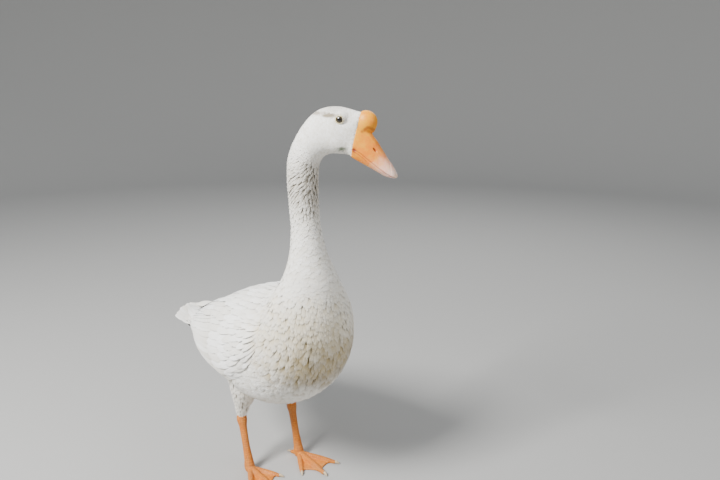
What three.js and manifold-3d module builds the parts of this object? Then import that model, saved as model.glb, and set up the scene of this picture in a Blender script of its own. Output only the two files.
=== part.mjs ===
// A white domestic goose of the knobbed Chinese kind, standing alert, life size.
// Millimetres. +Z is up, +X is the way the body faces and +Y is the bird's left side.
// The origin is on the floor, under the middle of the bird's bounding box.
import * as THREE from "three";
import { mergeVertices } from "three/addons/utils/BufferGeometryUtils.js";
import Module from "manifold-3d";

const wasm = await Module();
wasm.setup();

// ---- Driving dimensions -------------------------------------------------------------------
const GAP = 0.35; // clear space between neighbouring pieces
const BODY_SHIFT = 63; // from the trunk's centre to the middle of the bounding box
const HEAD_TURN = 38; // degrees that the head is turned to the bird's left
const NECK_AXIS = 101; // where the upright neck stands, ahead of the trunk's centre
const EYE = { forward: 167, apart: 14, height: 659, radius: 8.4, detail: 2 };
const KNOB = { forward: 204, height: 655, long: 17, wide: 13.5, tall: 17, detail: 3 };
const WING_THICKNESS = 10;
const WING_CLEARANCE = 1.5; // under the wing, because its facets and the body's bow differently
const WING_LENGTH = 400; // roughly, from the bend of the wing to its tips
const HIP_SPREAD = 50; // each leg's distance from the midline
const FOOT_AT = -12; // the ball of the foot, from the trunk's centre
const STRIDE = 9; // half of what the left foot is ahead of the right
const ANKLE_HEIGHT = 20; // where the foot ends and the shank begins
const FEATHERED_TO = 112; // where the shank goes into the thigh's feathers
const TOES = {
  inner: { length: 62, heading: -30, wide: 5, tall: 9 },
  middle: { length: 84, heading: -1, wide: 5.6, tall: 10.5 },
  outer: { length: 78, heading: 28, wide: 5.2, tall: 9.5 },
  hind: { length: 19, heading: -158, wide: 4, tall: 8 },
};
const CLAW_LENGTH = 9;
const WEB_THICKNESS = 2.4;
const WEB_HEIGHT = 0.4; // its underside, over the floor

const UP = new THREE.Vector3(0, 0, 1);
const V = (x, y, z) => new THREE.Vector3(x, y, z);
const lerp = THREE.MathUtils.lerp;
const smooth = THREE.MathUtils.smoothstep;
const radians = THREE.MathUtils.degToRad;

// ---- Finishes -----------------------------------------------------------------------------
const finish = (color, roughness) => new THREE.MeshStandardMaterial({ color, roughness, metalness: 0 });
const plumage = finish(0xeeeae0, 0.9);
const horn = finish(0xe8923c, 0.45);
const legSkin = finish(0xdf8434, 0.6);
const claw = finish(0xcbb79c, 0.4);
const eyeBall = finish(0x33240f, 0.08);

const goose = new THREE.Group();
const bird = new THREE.Group(); // everything, measured from the trunk's centre line
bird.position.x = BODY_SHIFT;
goose.add(bird);

function add(name, geometry, material) {
  const mesh = new THREE.Mesh(geometry, material);
  mesh.name = name;
  bird.add(mesh);
  return mesh;
}

// ---- Closed meshes from rings and patches ---------------------------------------------------
// The faces are turned to point outwards, whichever way round the points were listed.
function meshOf(points, faces) {
  const cone = ([a, b, c]) => points[a].dot(points[b].clone().cross(points[c]));
  const volume = faces.reduce((sum, face) => sum + cone(face), 0);
  const outward = volume > 0 ? faces : faces.map(([a, b, c]) => [a, c, b]);
  const geometry = new THREE.BufferGeometry().setFromPoints(points);
  geometry.setIndex(outward.flat());
  geometry.computeVertexNormals();
  return geometry;
}

// Rings of equal length, joined in order and closed by a fan at each end.
function loft(rings) {
  const size = rings[0].length;
  const points = rings.flat();
  const faces = [];
  for (let r = 0; r + 1 < rings.length; r++) {
    for (let i = 0; i < size; i++) {
      const j = (i + 1) % size;
      const [a, b] = [r * size + i, r * size + j];
      faces.push([a, b, b + size], [a, b + size, a + size]);
    }
  }
  const capEnd = (ring, start, turned) => {
    const centre = ring.reduce((sum, p) => sum.add(p), V(0, 0, 0)).divideScalar(size);
    const tip = points.push(centre) - 1;
    for (let i = 0; i < size; i++) {
      const [a, b] = [start + i, start + ((i + 1) % size)];
      faces.push(turned ? [b, a, tip] : [a, b, tip]);
    }
  };
  capEnd(rings[0], 0, true);
  capEnd(rings.at(-1), (rings.length - 1) * size, false);
  return meshOf(points, faces);
}

// A slab between two sheets, outer(u, v) and inner(u, v), for u and v from 0 to 1.
function slab(across, along, outer, inner) {
  const points = [];
  const at = (side, i, j) => (side * (across + 1) + i) * (along + 1) + j;
  for (const sheet of [outer, inner]) {
    for (let i = 0; i <= across; i++) {
      for (let j = 0; j <= along; j++) points.push(sheet(i / across, j / along));
    }
  }
  const faces = [];
  const quad = (a, b, c, d) => faces.push([a, b, c], [a, c, d]);
  for (let i = 0; i < across; i++) {
    for (let j = 0; j < along; j++) {
      quad(at(0, i, j), at(0, i + 1, j), at(0, i + 1, j + 1), at(0, i, j + 1));
      quad(at(1, i, j), at(1, i, j + 1), at(1, i + 1, j + 1), at(1, i + 1, j));
    }
    quad(at(0, i, 0), at(1, i, 0), at(1, i + 1, 0), at(0, i + 1, 0));
    quad(at(0, i, along), at(0, i + 1, along), at(1, i + 1, along), at(1, i, along));
  }
  for (let j = 0; j < along; j++) {
    quad(at(0, 0, j), at(0, 0, j + 1), at(1, 0, j + 1), at(1, 0, j));
    quad(at(0, across, j), at(1, across, j), at(1, across, j + 1), at(0, across, j + 1));
  }
  return meshOf(points, faces);
}

// ---- Joining and cutting ----------------------------------------------------------------------
function solid(geometry) {
  const bare = geometry.clone();
  bare.deleteAttribute("normal");
  bare.deleteAttribute("uv");
  const merged = mergeVertices(bare, 1e-3);
  return new wasm.Manifold(
    new wasm.Mesh({
      numProp: 3,
      vertProperties: merged.attributes.position.array,
      triVerts: new Uint32Array(merged.index.array),
    }),
  );
}

function geometryOf(made) {
  const mesh = made.getMesh();
  const geometry = new THREE.BufferGeometry();
  geometry.setAttribute("position", new THREE.BufferAttribute(mesh.vertProperties, mesh.numProp));
  geometry.setIndex(new THREE.BufferAttribute(mesh.triVerts, 1));
  geometry.computeVertexNormals();
  return geometry;
}

// ---- Tapering shapes drawn by their side outline -------------------------------------------------
// Each station is a slice from the upper line to the lower line, as [x, z], and wide is half its width.
// low moves the widest level down, and square makes the slice fuller than an ellipse.
// turnAt says how much of the head's turn a station has.
function outline(stations, turnAt) {
  const slices = Object.values(stations);
  const line = (pick) => new THREE.CatmullRomCurve3(slices.map(pick), false, "centripetal");
  const upper = line((s) => V(s.upper[0], 0, s.upper[1]));
  const lower = line((s) => V(s.lower[0], 0, s.lower[1]));
  const girth = line((s) => V(s.wide, s.low, s.square));
  const last = slices.length - 1;

  function surface(at, angle, grow = 0) {
    const top = upper.getPoint(at / last);
    const bottom = lower.getPoint(at / last);
    const { x: wide, y: low, z: square } = girth.getPoint(at / last);
    const down = bottom.clone().sub(top).normalize();
    top.addScaledVector(down, -grow);
    bottom.addScaledVector(down, grow);
    const side = Math.sin(angle);
    const level = Math.min(1, Math.max(0, (1 - Math.cos(angle)) / 2 + low * side * side));
    const point = top.lerp(bottom, level);
    point.y = Math.sign(side) * (wide + grow) * Math.abs(side) ** (2 / square);
    return turned(point, turnAt(at));
  }

  // A point held clear of the surface, along the normal that a small step each way gives.
  function above(at, angle, height) {
    const step = 0.02;
    const along = surface(Math.min(last, at + step), angle).sub(surface(Math.max(0, at - step), angle));
    const around = surface(at, angle + step).sub(surface(at, angle - step));
    return surface(at, angle).addScaledVector(along.cross(around).normalize(), height);
  }

  function stretch(from, to, rings, around, grow = 0) {
    const ring = (at) =>
      Array.from({ length: around }, (_, i) => surface(at, (2 * Math.PI * i) / around, grow));
    return loft(Array.from({ length: rings + 1 }, (_, r) => ring(lerp(from, to, r / rings))));
  }

  // The station GAP further on than this one, on whichever line is the slower.
  function clearOf(at) {
    const step = 1e-3;
    const speed = (curve) => curve.getPoint((at + step) / last).distanceTo(curve.getPoint(at / last)) / step;
    return at + GAP / Math.min(speed(upper), speed(lower));
  }

  return { above, stretch, clearOf, last };
}

// The turn of the head is taken up along the upper neck, about the neck's own upright axis.
function turned(point, share) {
  const axis = V(NECK_AXIS, 0, 0);
  return point.sub(axis).applyAxisAngle(UP, radians(HEAD_TURN) * share).add(axis);
}

// ---- Tail, trunk, neck and head: one outline from the tail's tip to the bill ------------------------
const BODY = {
  tailTip: { upper: [-349, 233], lower: [-349, 230], wide: 13, low: 0, square: 2.6 },
  tailEnd: { upper: [-338, 234.5], lower: [-338, 227.5], wide: 34, low: 0, square: 2.6 },
  tailFan: { upper: [-314, 237], lower: [-313, 223], wide: 47, low: 0, square: 2.5 },
  tailRoot: { upper: [-268, 243], lower: [-266, 213], wide: 46, low: 0, square: 2.2 },
  rump: { upper: [-212, 264], lower: [-206, 201], wide: 58, low: 0.02, square: 2.1 },
  vent: { upper: [-150, 301], lower: [-140, 175], wide: 78, low: 0.04, square: 2.1 },
  paunch: { upper: [-82, 335], lower: [-64, 156], wide: 92, low: 0.05, square: 2.15 },
  middle: { upper: [-16, 360], lower: [10, 149], wide: 96, low: 0.04, square: 2.15 },
  shoulder: { upper: [38, 375], lower: [82, 169], wide: 94, low: 0.02, square: 2.1 },
  breast: { upper: [68, 384], lower: [144, 220], wide: 91, low: 0, square: 2.1 },
  crop: { upper: [79, 396], lower: [172, 303], wide: 76, low: -0.04, square: 2.05 },
  neckRoot: { upper: [84, 420], lower: [164, 384], wide: 50, low: -0.03, square: 2 },
  neckLow: { upper: [84, 457], lower: [141, 451], wide: 29, low: 0, square: 2 },
  neckMiddle: { upper: [81, 505], lower: [128, 505], wide: 23.5, low: 0, square: 2 },
  neckHigh: { upper: [77, 560], lower: [126, 558], wide: 24.5, low: 0, square: 2 },
  nape: { upper: [80, 603], lower: [128.5, 586], wide: 24.5, low: 0, square: 2 },
  poll: { upper: [98, 641], lower: [136.5, 600], wide: 25.5, low: 0.02, square: 2.05 },
  crown: { upper: [126, 671], lower: [149, 605.5], wide: 26.5, low: 0.06, square: 2.1 },
  brow: { upper: [156, 678.5], lower: [163, 605.5], wide: 25.5, low: 0.1, square: 2.15 },
  billBase: { upper: [194, 671], lower: [179.5, 604.5], wide: 17, low: 0.12, square: 2.2 },
};
const STATION = Object.fromEntries(Object.keys(BODY).map((name, index) => [name, index]));
const body = outline(BODY, (at) => smooth(at, STATION.neckLow, STATION.nape));

// The outline is cut at these places, and each length between two cuts is a node.
const RUMP_CUT = STATION.tailRoot + 0.35;
const CROP_CUT = STATION.neckRoot - 0.1;
const NECK_CUT = STATION.neckMiddle + 0.5;
const POLL_CUT = STATION.nape + 0.6;
const LENGTHS = {
  tail: { from: 0, to: RUMP_CUT, rings: 7 },
  trunk: { from: body.clearOf(RUMP_CUT), to: CROP_CUT, rings: 18 },
  neck_lower: { from: body.clearOf(CROP_CUT), to: NECK_CUT, rings: 8 },
  neck_upper: { from: body.clearOf(NECK_CUT), to: POLL_CUT, rings: 10 },
  head: { from: body.clearOf(POLL_CUT), to: body.last, rings: 12 },
};
const AROUND = 24; // points round each ring
const flesh = (name) => {
  const { from, to, rings } = LENGTHS[name];
  return body.stretch(from, to, rings, AROUND);
};
for (const name of ["tail", "trunk", "neck_lower", "neck_upper"]) add(name, flesh(name), plumage);

// ---- Bill, knob and eyes, on the turned head ----------------------------------------------------------
const withHead = () => 1;
const UPPER_BILL = { rings: 12, around: 18 };
const LOWER_BILL = { rings: 10, around: 14 };
const upperBill = outline(
  {
    base: { upper: [192.6, 662], lower: [181.2, 609], wide: 17, low: 0.3, square: 2.4 },
    saddle: { upper: [204, 645], lower: [191, 604], wide: 17, low: 0.33, square: 2.4 },
    nostril: { upper: [216, 633], lower: [203, 597], wide: 16.5, low: 0.34, square: 2.4 },
    blade: { upper: [228, 615], lower: [216, 589.5], wide: 15.5, low: 0.35, square: 2.4 },
    broad: { upper: [237.5, 600], lower: [228, 582.5], wide: 14.5, low: 0.35, square: 2.4 },
    nailRoot: { upper: [246, 587], lower: [238.5, 576.5], wide: 13, low: 0.33, square: 2.3 },
    nail: { upper: [251, 578.5], lower: [246, 571.5], wide: 10, low: 0.25, square: 2.2 },
    tip: { upper: [253, 573], lower: [250.5, 569.5], wide: 5, low: 0.1, square: 2 },
  },
  withHead,
);
const lowerBill = outline(
  {
    base: { upper: [181, 607.4], lower: [179.9, 603], wide: 14, low: -0.2, square: 2.4 },
    gape: { upper: [190.6, 602.8], lower: [188.6, 597.5], wide: 14, low: -0.25, square: 2.4 },
    under: { upper: [203, 595.8], lower: [201, 591], wide: 13, low: -0.3, square: 2.4 },
    middle: { upper: [216, 588.3], lower: [214, 584.3], wide: 12, low: -0.3, square: 2.4 },
    fore: { upper: [228, 581.4], lower: [226.2, 577.8], wide: 11, low: -0.3, square: 2.4 },
    lip: { upper: [238, 575.6], lower: [236.6, 572.8], wide: 9, low: -0.2, square: 2.2 },
    tip: { upper: [244, 572.2], lower: [243.4, 570.8], wide: 5, low: 0, square: 2 },
  },
  withHead,
);

// An ellipsoid on the head, grown by a margin when it is used to cut its own seat.
function ellipsoid(centre, radii, grow, detail) {
  const ball = new THREE.IcosahedronGeometry(1, detail);
  ball.scale(...radii.map((radius) => radius + grow));
  ball.translate(centre.x, centre.y, centre.z);
  const toAxis = new THREE.Matrix4().makeTranslation(-NECK_AXIS, 0, 0);
  const turn = new THREE.Matrix4().makeRotationZ(radians(HEAD_TURN));
  const back = new THREE.Matrix4().makeTranslation(NECK_AXIS, 0, 0);
  return solid(ball.applyMatrix4(back.multiply(turn).multiply(toAxis)));
}
const knob = (grow) =>
  ellipsoid(V(KNOB.forward, 0, KNOB.height), [KNOB.long, KNOB.wide, KNOB.tall], grow, KNOB.detail);
const eye = (side, grow) =>
  ellipsoid(V(EYE.forward, side * EYE.apart, EYE.height), Array(3).fill(EYE.radius), grow, EYE.detail);

const sockets = eye(1, GAP).add(eye(-1, GAP));
const head = solid(flesh("head")).subtract(knob(GAP)).subtract(sockets);
const blade = solid(upperBill.stretch(0, upperBill.last, UPPER_BILL.rings, UPPER_BILL.around));
add("head", geometryOf(head), plumage);
add("bill_upper", geometryOf(blade.subtract(knob(GAP))), horn);
add("bill_lower", lowerBill.stretch(0, lowerBill.last, LOWER_BILL.rings, LOWER_BILL.around), horn);
add("knob", geometryOf(knob(0)), horn);

// ---- Wings: folded along the sides, with their tips over the tail ----------------------------------------
// A folded wing is a sheet over the body from its bend, at share 0, to its tips, at share 1.
// Each edge is drawn by [share, degrees down from the back line]. The sheet is thickest along its
// middle and thins towards its edges, its bend and its tips.
const WING_FROM = STATION.breast - 0.3;
const WING_TO = STATION.tailFan - 0.3;
const WING_ACROSS = 8; // facets from its upper edge to its lower
const edge = (...points) =>
  new THREE.SplineCurve(points.map(([share, angle]) => new THREE.Vector2(share, angle)));
const upperEdge = edge([0, 62], [0.12, 44], [0.35, 27], [0.65, 13], [0.85, 7], [1, 5]);
const lowerEdge = edge([0, 78], [0.12, 101], [0.35, 112], [0.62, 104], [0.82, 62], [1, 24]);
const WING_PARTS = {
  coverts: { from: 0, to: 0.42, along: 8 },
  secondaries: { from: 0.42, to: 0.72, along: 7 },
  primaries: { from: 0.72, to: 1, along: 7 },
};

function wingSheet(side, share, u, height) {
  const angle = radians(lerp(upperEdge.getPoint(share).y, lowerEdge.getPoint(share).y, u));
  return body.above(lerp(WING_FROM, WING_TO, share), side * angle, height);
}
function wingPart(side, { from, to, along }) {
  const margin = from === 0 ? 0 : GAP / WING_LENGTH;
  const share = (v) => lerp(from + margin, to, v);
  const thickness = (u, v) => {
    const rounded = Math.sqrt(Math.sin(Math.PI * lerp(0.04, 0.96, u)));
    return WING_THICKNESS * rounded * lerp(1, 0.45, share(v)) * smooth(share(v) + 0.03, 0, 0.1);
  };
  return slab(
    WING_ACROSS,
    along,
    (u, v) => wingSheet(side, share(v), u, WING_CLEARANCE + thickness(u, v)),
    (u, v) => wingSheet(side, share(v), u, WING_CLEARANCE),
  );
}

// ---- Legs ---------------------------------------------------------------------------------------------
// Upright lofts with level rings: [height, forward, half length, half width] at each station.
function upright(stations, { rings, around }, spread) {
  const line = (pick) => new THREE.CatmullRomCurve3(stations.map(pick), false, "centripetal");
  const centre = line(([height, forward]) => V(forward, spread, height));
  const radii = line(([, , long, wide]) => V(long, wide, 0));
  const ring = (t) => {
    const middle = centre.getPoint(t);
    const radius = radii.getPoint(t);
    const turn = (i) => (2 * Math.PI * i) / around;
    return Array.from({ length: around }, (_, i) =>
      V(middle.x + radius.x * Math.cos(turn(i)), middle.y + radius.y * Math.sin(turn(i)), middle.z));
  };
  return loft(Array.from({ length: rings + 1 }, (_, i) => ring(i / rings)));
}

// A toe lies along +X from the ball of the foot, with a flat sole on the floor.
// It ends square, where the claw begins.
const TOE_SIDES = 8;
const TOE_RINGS = 6;
const TOE_MIDDLE = 0.42; // how high the toe's own middle is, as a share of its height
const TOE_TAPER = 0.87; // at 1 the toe would thin to nothing where the claw begins
function toe({ length, heading, wide, tall }, side) {
  const thin = (t) => Math.sqrt(1 - (TOE_TAPER * t) ** 3);
  const ring = (t) =>
    Array.from({ length: TOE_SIDES }, (_, i) => {
      const turn = (2 * Math.PI * (i + 0.5)) / TOE_SIDES;
      const height = tall * thin(t) * (TOE_MIDDLE + (1 - TOE_MIDDLE) * Math.sin(turn));
      return V(length * t, wide * thin(t) * Math.cos(turn), Math.max(0, height));
    });
  const rings = Array.from({ length: TOE_RINGS + 1 }, (_, i) => ring(i / TOE_RINGS));
  return loft(rings).rotateZ(side * radians(heading));
}

// A claw carries on from the toe's end, and curves down to a blunt point.
const CLAW_THIN = { root: 0.62, tip: 0.14 }; // its thickness, as a share of the toe's
const CLAW_DROP = 0.16; // how high its tip is, as a share of the toe's height
const CLAW_SIDES = 8;
const CLAW_STEPS = [0, 0.35, 0.7, 1]; // where its rings stand, as shares of its length
function toeClaw({ length, heading, wide, tall }, side) {
  const ring = (t) => {
    const radius = lerp(CLAW_THIN.root, CLAW_THIN.tip, t ** 1.5);
    const middle = tall * lerp(TOE_MIDDLE, CLAW_DROP, t * t);
    return Array.from({ length: CLAW_SIDES }, (_, i) => {
      const turn = (2 * Math.PI * i) / CLAW_SIDES;
      const height = middle + tall * 0.5 * radius * Math.sin(turn);
      return V(length + GAP + CLAW_LENGTH * t, wide * 0.8 * radius * Math.cos(turn), height);
    });
  };
  return loft(CLAW_STEPS.map(ring)).rotateZ(side * radians(heading));
}

// The web spans the three front toes, with a hollow edge between each pair.
const WEB_REACH = 0.88; // how far along the toes it is fixed, as a share of their length
const WEB_HOLLOW = 0.43; // where its edge is drawn to: 0.5 would be straight between the toes
const WEB_FACETS = 4; // along each hollow edge
function web(side) {
  const tip = ({ length, heading }) =>
    new THREE.Vector2(length * WEB_REACH, 0).rotateAround(new THREE.Vector2(), side * radians(heading));
  const tips = [TOES.inner, TOES.middle, TOES.outer].map(tip);
  const shape = new THREE.Shape().moveTo(0, 0).lineTo(tips[0].x, tips[0].y);
  for (const i of [1, 2]) {
    const hollow = tips[i - 1].clone().add(tips[i]).multiplyScalar(WEB_HOLLOW);
    shape.quadraticCurveTo(hollow.x, hollow.y, tips[i].x, tips[i].y);
  }
  shape.closePath();
  const options = { depth: WEB_THICKNESS, bevelEnabled: false, curveSegments: WEB_FACETS };
  return new THREE.ExtrudeGeometry(shape, options).translate(0, 0, WEB_HEIGHT);
}

// The ball of the foot rises to the ankle, where the shank stands on it.
const BALL = { rings: 3, around: 12 };
const SHANK = { rings: 10, around: 12 };
const THIGH = { rings: 6, around: 18 };
const ball = upright([[0, 0, 9, 8], [8, -1, 10.5, 9.5], [ANKLE_HEIGHT, -2.5, 8.5, 8]], BALL, 0);
function footOf(side) {
  const pieces = [ball, web(side), ...Object.values(TOES).map((sizes) => toe(sizes, side))];
  const joined = pieces.map(solid).reduce((whole, piece) => whole.add(piece));
  return geometryOf(joined);
}

// ---- Both sides ---------------------------------------------------------------------------------------
const trunkSeat = solid(body.stretch(RUMP_CUT, CROP_CUT, LENGTHS.trunk.rings, AROUND, GAP));
for (const [name, side] of [["left", 1], ["right", -1]]) {
  add(`eye_${name}`, geometryOf(eye(side, 0)), eyeBall);
  for (const [part, sizes] of Object.entries(WING_PARTS)) {
    add(`wing_${name}_${part}`, wingPart(side, sizes), plumage);
  }

  const foot = FOOT_AT + side * STRIDE;
  const spread = side * HIP_SPREAD;
  const thigh = [
    [205, foot + 4, 46, 30],
    [165, foot - 6, 33, 24],
    [135, foot - 15, 18, 15],
    [FEATHERED_TO, foot - 21, 11, 9.5],
  ];
  const shank = [
    [FEATHERED_TO - GAP, foot - 21, 8, 7],
    [98, foot - 22, 11, 9],
    [84, foot - 19, 8.5, 6.5],
    [50, foot - 11, 7.5, 6],
    [ANKLE_HEIGHT + GAP, foot - 3, 8.5, 8],
  ];
  add(`thigh_${name}`, geometryOf(solid(upright(thigh, THIGH, spread)).subtract(trunkSeat)), plumage);
  add(`shank_${name}`, upright(shank, SHANK, spread), legSkin);
  add(`foot_${name}`, footOf(side).translate(foot, spread, 0), legSkin);
  for (const [which, sizes] of Object.entries(TOES)) {
    add(`claw_${name}_${which}`, toeClaw(sizes, side).translate(foot, spread, 0), claw);
  }
}

export default goose;
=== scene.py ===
import math

import bmesh
import bpy
import numpy as np
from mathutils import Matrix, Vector
from mathutils.bvhtree import BVHTree
from mathutils.kdtree import KDTree


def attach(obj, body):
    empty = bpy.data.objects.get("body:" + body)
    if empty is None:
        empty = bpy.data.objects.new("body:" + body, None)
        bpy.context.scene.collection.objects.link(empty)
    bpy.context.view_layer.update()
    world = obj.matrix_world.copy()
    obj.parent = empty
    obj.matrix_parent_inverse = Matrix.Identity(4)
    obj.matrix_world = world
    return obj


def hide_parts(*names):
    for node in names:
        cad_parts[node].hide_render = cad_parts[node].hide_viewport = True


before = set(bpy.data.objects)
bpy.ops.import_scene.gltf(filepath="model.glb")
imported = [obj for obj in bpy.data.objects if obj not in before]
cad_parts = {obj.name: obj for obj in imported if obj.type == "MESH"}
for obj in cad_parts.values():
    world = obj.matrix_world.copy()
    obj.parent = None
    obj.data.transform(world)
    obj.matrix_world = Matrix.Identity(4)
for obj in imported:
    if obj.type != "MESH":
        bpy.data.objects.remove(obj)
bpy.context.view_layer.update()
MM = 0.001

# ---- Viewpoint ----------------------------------------------------------------------------------------
# A wide lens about a metre from the bird's right breast, a little above its head and looking down on it.
EYE_POINT = Vector((1.0070, -0.5883, 0.7231))
LOOKS_DOWN = math.radians(14.2)
BEARING = math.radians(50)

lens = bpy.data.cameras.new("camera")
lens.sensor_width = 36
lens.lens = 32.5
camera = bpy.data.objects.new("camera", lens)
camera.location = EYE_POINT
camera.rotation_euler = (math.pi / 2 - LOOKS_DOWN, 0, BEARING)
bpy.context.collection.objects.link(camera)
bpy.context.scene.camera = camera

# ---- The lie of the coat ------------------------------------------------------------------------------
# Feathers lie from the face back over the head, down the neck, round the breast and back to the tail.
# Each row is a place on the middle of the body, with its share of the head's turn, how far the feathers
# sweep backward, the room between them, their length and width, the coat's depth, and the tips' lift.
HEAD_TURN = math.radians(38)
NECK_AXIS = 164
LIE = {  #        forward height turn  sweep   room length width depth lift
    "face":        (251, 634, 1.00, 0.0,   1.9,  6.0,  3.8, 0.6, 0.0),
    "cheek":       (223, 640, 1.00, 0.0,   2.1,  7.5,  4.4, 0.8, 0.0),
    "occiput":     (183, 628, 1.00, 0.2,   2.5, 10.0,  5.0, 1.2, 0.1),
    "nape":        (167, 592, 1.00, 1.1,   3.2, 13.0,  4.6, 2.4, 0.8),
    "neck_high":   (165, 555, 0.72, 0.9,   3.6, 15.0,  5.0, 3.0, 1.0),
    "neck_middle": (167, 505, 0.26, 0.1,   3.7, 15.0,  6.6, 2.4, 0.2),
    "neck_low":    (176, 455, 0.00, 0.0,   3.9, 17.0,  8.0, 2.2, 0.0),
    "neck_root":   (187, 410, 0.00, 0.0,   4.3, 19.0,  9.4, 2.8, 0.0),
    "crop":        (189, 360, 0.00, 0.0,   5.0, 22.0, 10.0, 3.6, 0.3),
    "breast":      (179, 315, 0.00, 0.0,   5.8, 25.0,  9.6, 4.4, 0.9),
    "keel":        (153, 280, 0.00, 0.0,   6.6, 28.0, 12.5, 4.8, 0.5),
    "shoulder":    (108, 265, 0.00, 0.0,   7.4, 30.0, 15.0, 4.8, 0.2),
    "middle":      (53, 254, 0.00, 0.0,    8.0, 33.0, 17.0, 4.8, 0.2),
    "paunch":      (-7, 246, 0.00, 0.0,    8.0, 33.0, 17.0, 4.8, 0.3),
    "vent":        (-67, 240, 0.00, 0.0,   8.0, 34.0, 16.0, 4.8, 0.3),
    "rump":        (-122, 236, 0.00, 0.0,  7.8, 34.0, 15.0, 4.4, 0.2),
    "tail":        (-177, 232, 0.00, 0.0,  7.6, 36.0, 14.0, 3.0, 0.1),
    "tail_end":    (-270, 231, 0.00, 0.0,  7.6, 34.0, 14.0, 1.2, 0.0),
}
LEG_LIE = {  # on each leg: forward of the ball of the foot, height, and the coat
    "thigh":       (-6, 165, 6.5, 20.0, 8.5, 4.0, 0.6),
    "knee":        (-15, 135, 5.0, 15.0, 6.5, 3.0, 0.5),
    "garter":      (-21, 112, 4.0, 12.0, 5.0, 1.5, 0.2),
}
BALL_OF_FOOT = {1: 60, -1: 42}  # how far forward each foot stands, by side: 1 is left, -1 is right
HIP_SPREAD = 50
DOWN_THE_LEG = (-0.25, 0.0, -0.97)  # the way its feathers point
FALLOFF = 6  # how quickly a place's hold on the coat fades with distance
SAMPLES = 5  # places worked out from each row of the table to the next
LEG_STOPS = 5  # how far apart the two legs are counted along the lie


def turned(points, share):
    """Points in millimetres, turned about the neck's upright axis by a share of the head's turn."""
    angle = HEAD_TURN * np.asarray(share)
    x = points[..., 0] - NECK_AXIS
    y = points[..., 1]
    out = np.array(points, float)
    out[..., 0] = NECK_AXIS + x * np.cos(angle) - y * np.sin(angle)
    out[..., 1] = x * np.sin(angle) + y * np.cos(angle)
    return out


def unit(vectors):
    return vectors / np.maximum(np.linalg.norm(vectors, axis=-1, keepdims=True), 1e-12)


def lie_samples():
    """Places along the body and legs, with the way the feathers point, the coat's sizes and the stops."""
    rows = np.array(list(LIE.values()), float)
    fine = np.linspace(0, len(rows) - 1, SAMPLES * (len(rows) - 1) + 1)
    rows = np.stack([np.interp(fine, np.arange(len(rows)), column) for column in rows.T], 1)
    middle = np.stack([rows[:, 0], 0 * rows[:, 0], rows[:, 1]], 1)
    places = [turned(middle, rows[:, 2])]
    backward = places[0] - turned(middle + [1, 0, 0], rows[:, 2])
    ways = [unit(unit(np.gradient(places[0], axis=0)) + rows[:, 3:4] * backward)]
    coats = [rows[:, 4:]]
    stops = [fine]
    leg = np.array(list(LEG_LIE.values()), float)
    for number, (side, forward) in enumerate(BALL_OF_FOOT.items()):
        places.append(np.stack([forward + leg[:, 0], 0 * leg[:, 0] + side * HIP_SPREAD, leg[:, 1]], 1))
        ways.append(np.tile(DOWN_THE_LEG, (len(leg), 1)))
        coats.append(leg[:, 2:])
        stops.append(fine[-1] + 1 + LEG_STOPS * number + np.arange(len(leg)))
    places, ways, coats, stops = map(np.concatenate, (places, ways, coats, stops))
    return places * MM, ways, coats * MM, stops


PLACES, WAYS, COATS, STOPS = lie_samples()


def hold_at(points):
    """The share that each place along the lie has in the coat at each point."""
    hold = ((points[:, None] - PLACES[None]) ** 2).sum(-1) ** (-FALLOFF / 2)
    return hold / hold.sum(1, keepdims=True)


def coat_at(points):
    """The way the feathers point at each point, and the room, length, width, depth and lift there."""
    hold = hold_at(points)
    return unit(hold @ WAYS), hold @ COATS


# ---- Skin ---------------------------------------------------------------------------------------------
# One skin runs from the bill to the tail and down the thighs, with the folded wings under it. It is made
# from grown copies of the solids, joined by a voxel remesh, smoothed, and drawn in by the coat's depth.
TRUNK_PARTS = ["trunk", "tail", "thigh_left", "thigh_right"]
NECK_PARTS = ["neck_lower", "neck_upper", "head"]
WING_PARTS = [f"wing_{side}_{part}" for side in ("left", "right") for part in ("coverts", "secondaries")]
TIP_PARTS = ["wing_left_primaries", "wing_right_primaries"]
HORN_PARTS = ["bill_upper", "bill_lower", "knob"]
SWELL = 1.4 * MM
VOXEL = 2.8 * MM
SKIN_SMOOTHED = 6
SKIN_ENDS = 99 * MM  # how low the feathered skin reaches on the legs
HEAD_FROM = 560 * MM  # everything above this height is head or upper neck
PAST_BILL_EDGE = 1.5  # how far the skin goes on under the edge of the bill
BILL_EDGE = ((609, 247.4), (662, 258.4))  # height and forward place of the line where the bill starts
EYE_AT = (230, 659)  # forward and up, with the head straight
EYE_APART = 14
ORBIT, ORBIT_SLOPE_FROM = 9.1, 7.5  # a rounded rise of the face holds each eye, and runs out in a slope
ORBIT_REACH, OFF_MIDLINE = 13, 4  # the rise goes this far round the eye, and stays this far off the midline
OPENING_DEEP, OPENING_WIDE = 1.6, 5  # the hollow between the lids
BROW = np.array([(222, 665), (216, 664.4), (209, 665.5), (201, 667.3), (190, 667.6)])
BROW_DEEP, BROW_WIDE = 1.3, 2.3
BROW_OUT_FROM, BROW_OUT_FULL, BROW_ABOVE = 5, 9, 640  # the furrow keeps off the midline and the cheek
TAIL_FROM = -180 * MM  # behind this the flesh of the tail is much shorter than its feathers
TAIL_SHORTENED = 0.65


def to_piece(name, mesh, material=None):
    piece = bpy.data.objects.new(name, mesh)
    bpy.context.collection.objects.link(piece)
    if material:
        mesh.materials.append(material)
    return piece


def evaluated(name, mesh, modifiers):
    """The mesh with these modifiers applied: (type, settings) in order."""
    piece = to_piece(name, mesh)
    for kind, settings in modifiers:
        modifier = piece.modifiers.new(kind, kind)
        for key, value in settings.items():
            setattr(modifier, key, value)
    result = bpy.data.meshes.new_from_object(piece.evaluated_get(bpy.context.evaluated_depsgraph_get()))
    bpy.data.objects.remove(piece)
    result.name = name
    return result


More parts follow.
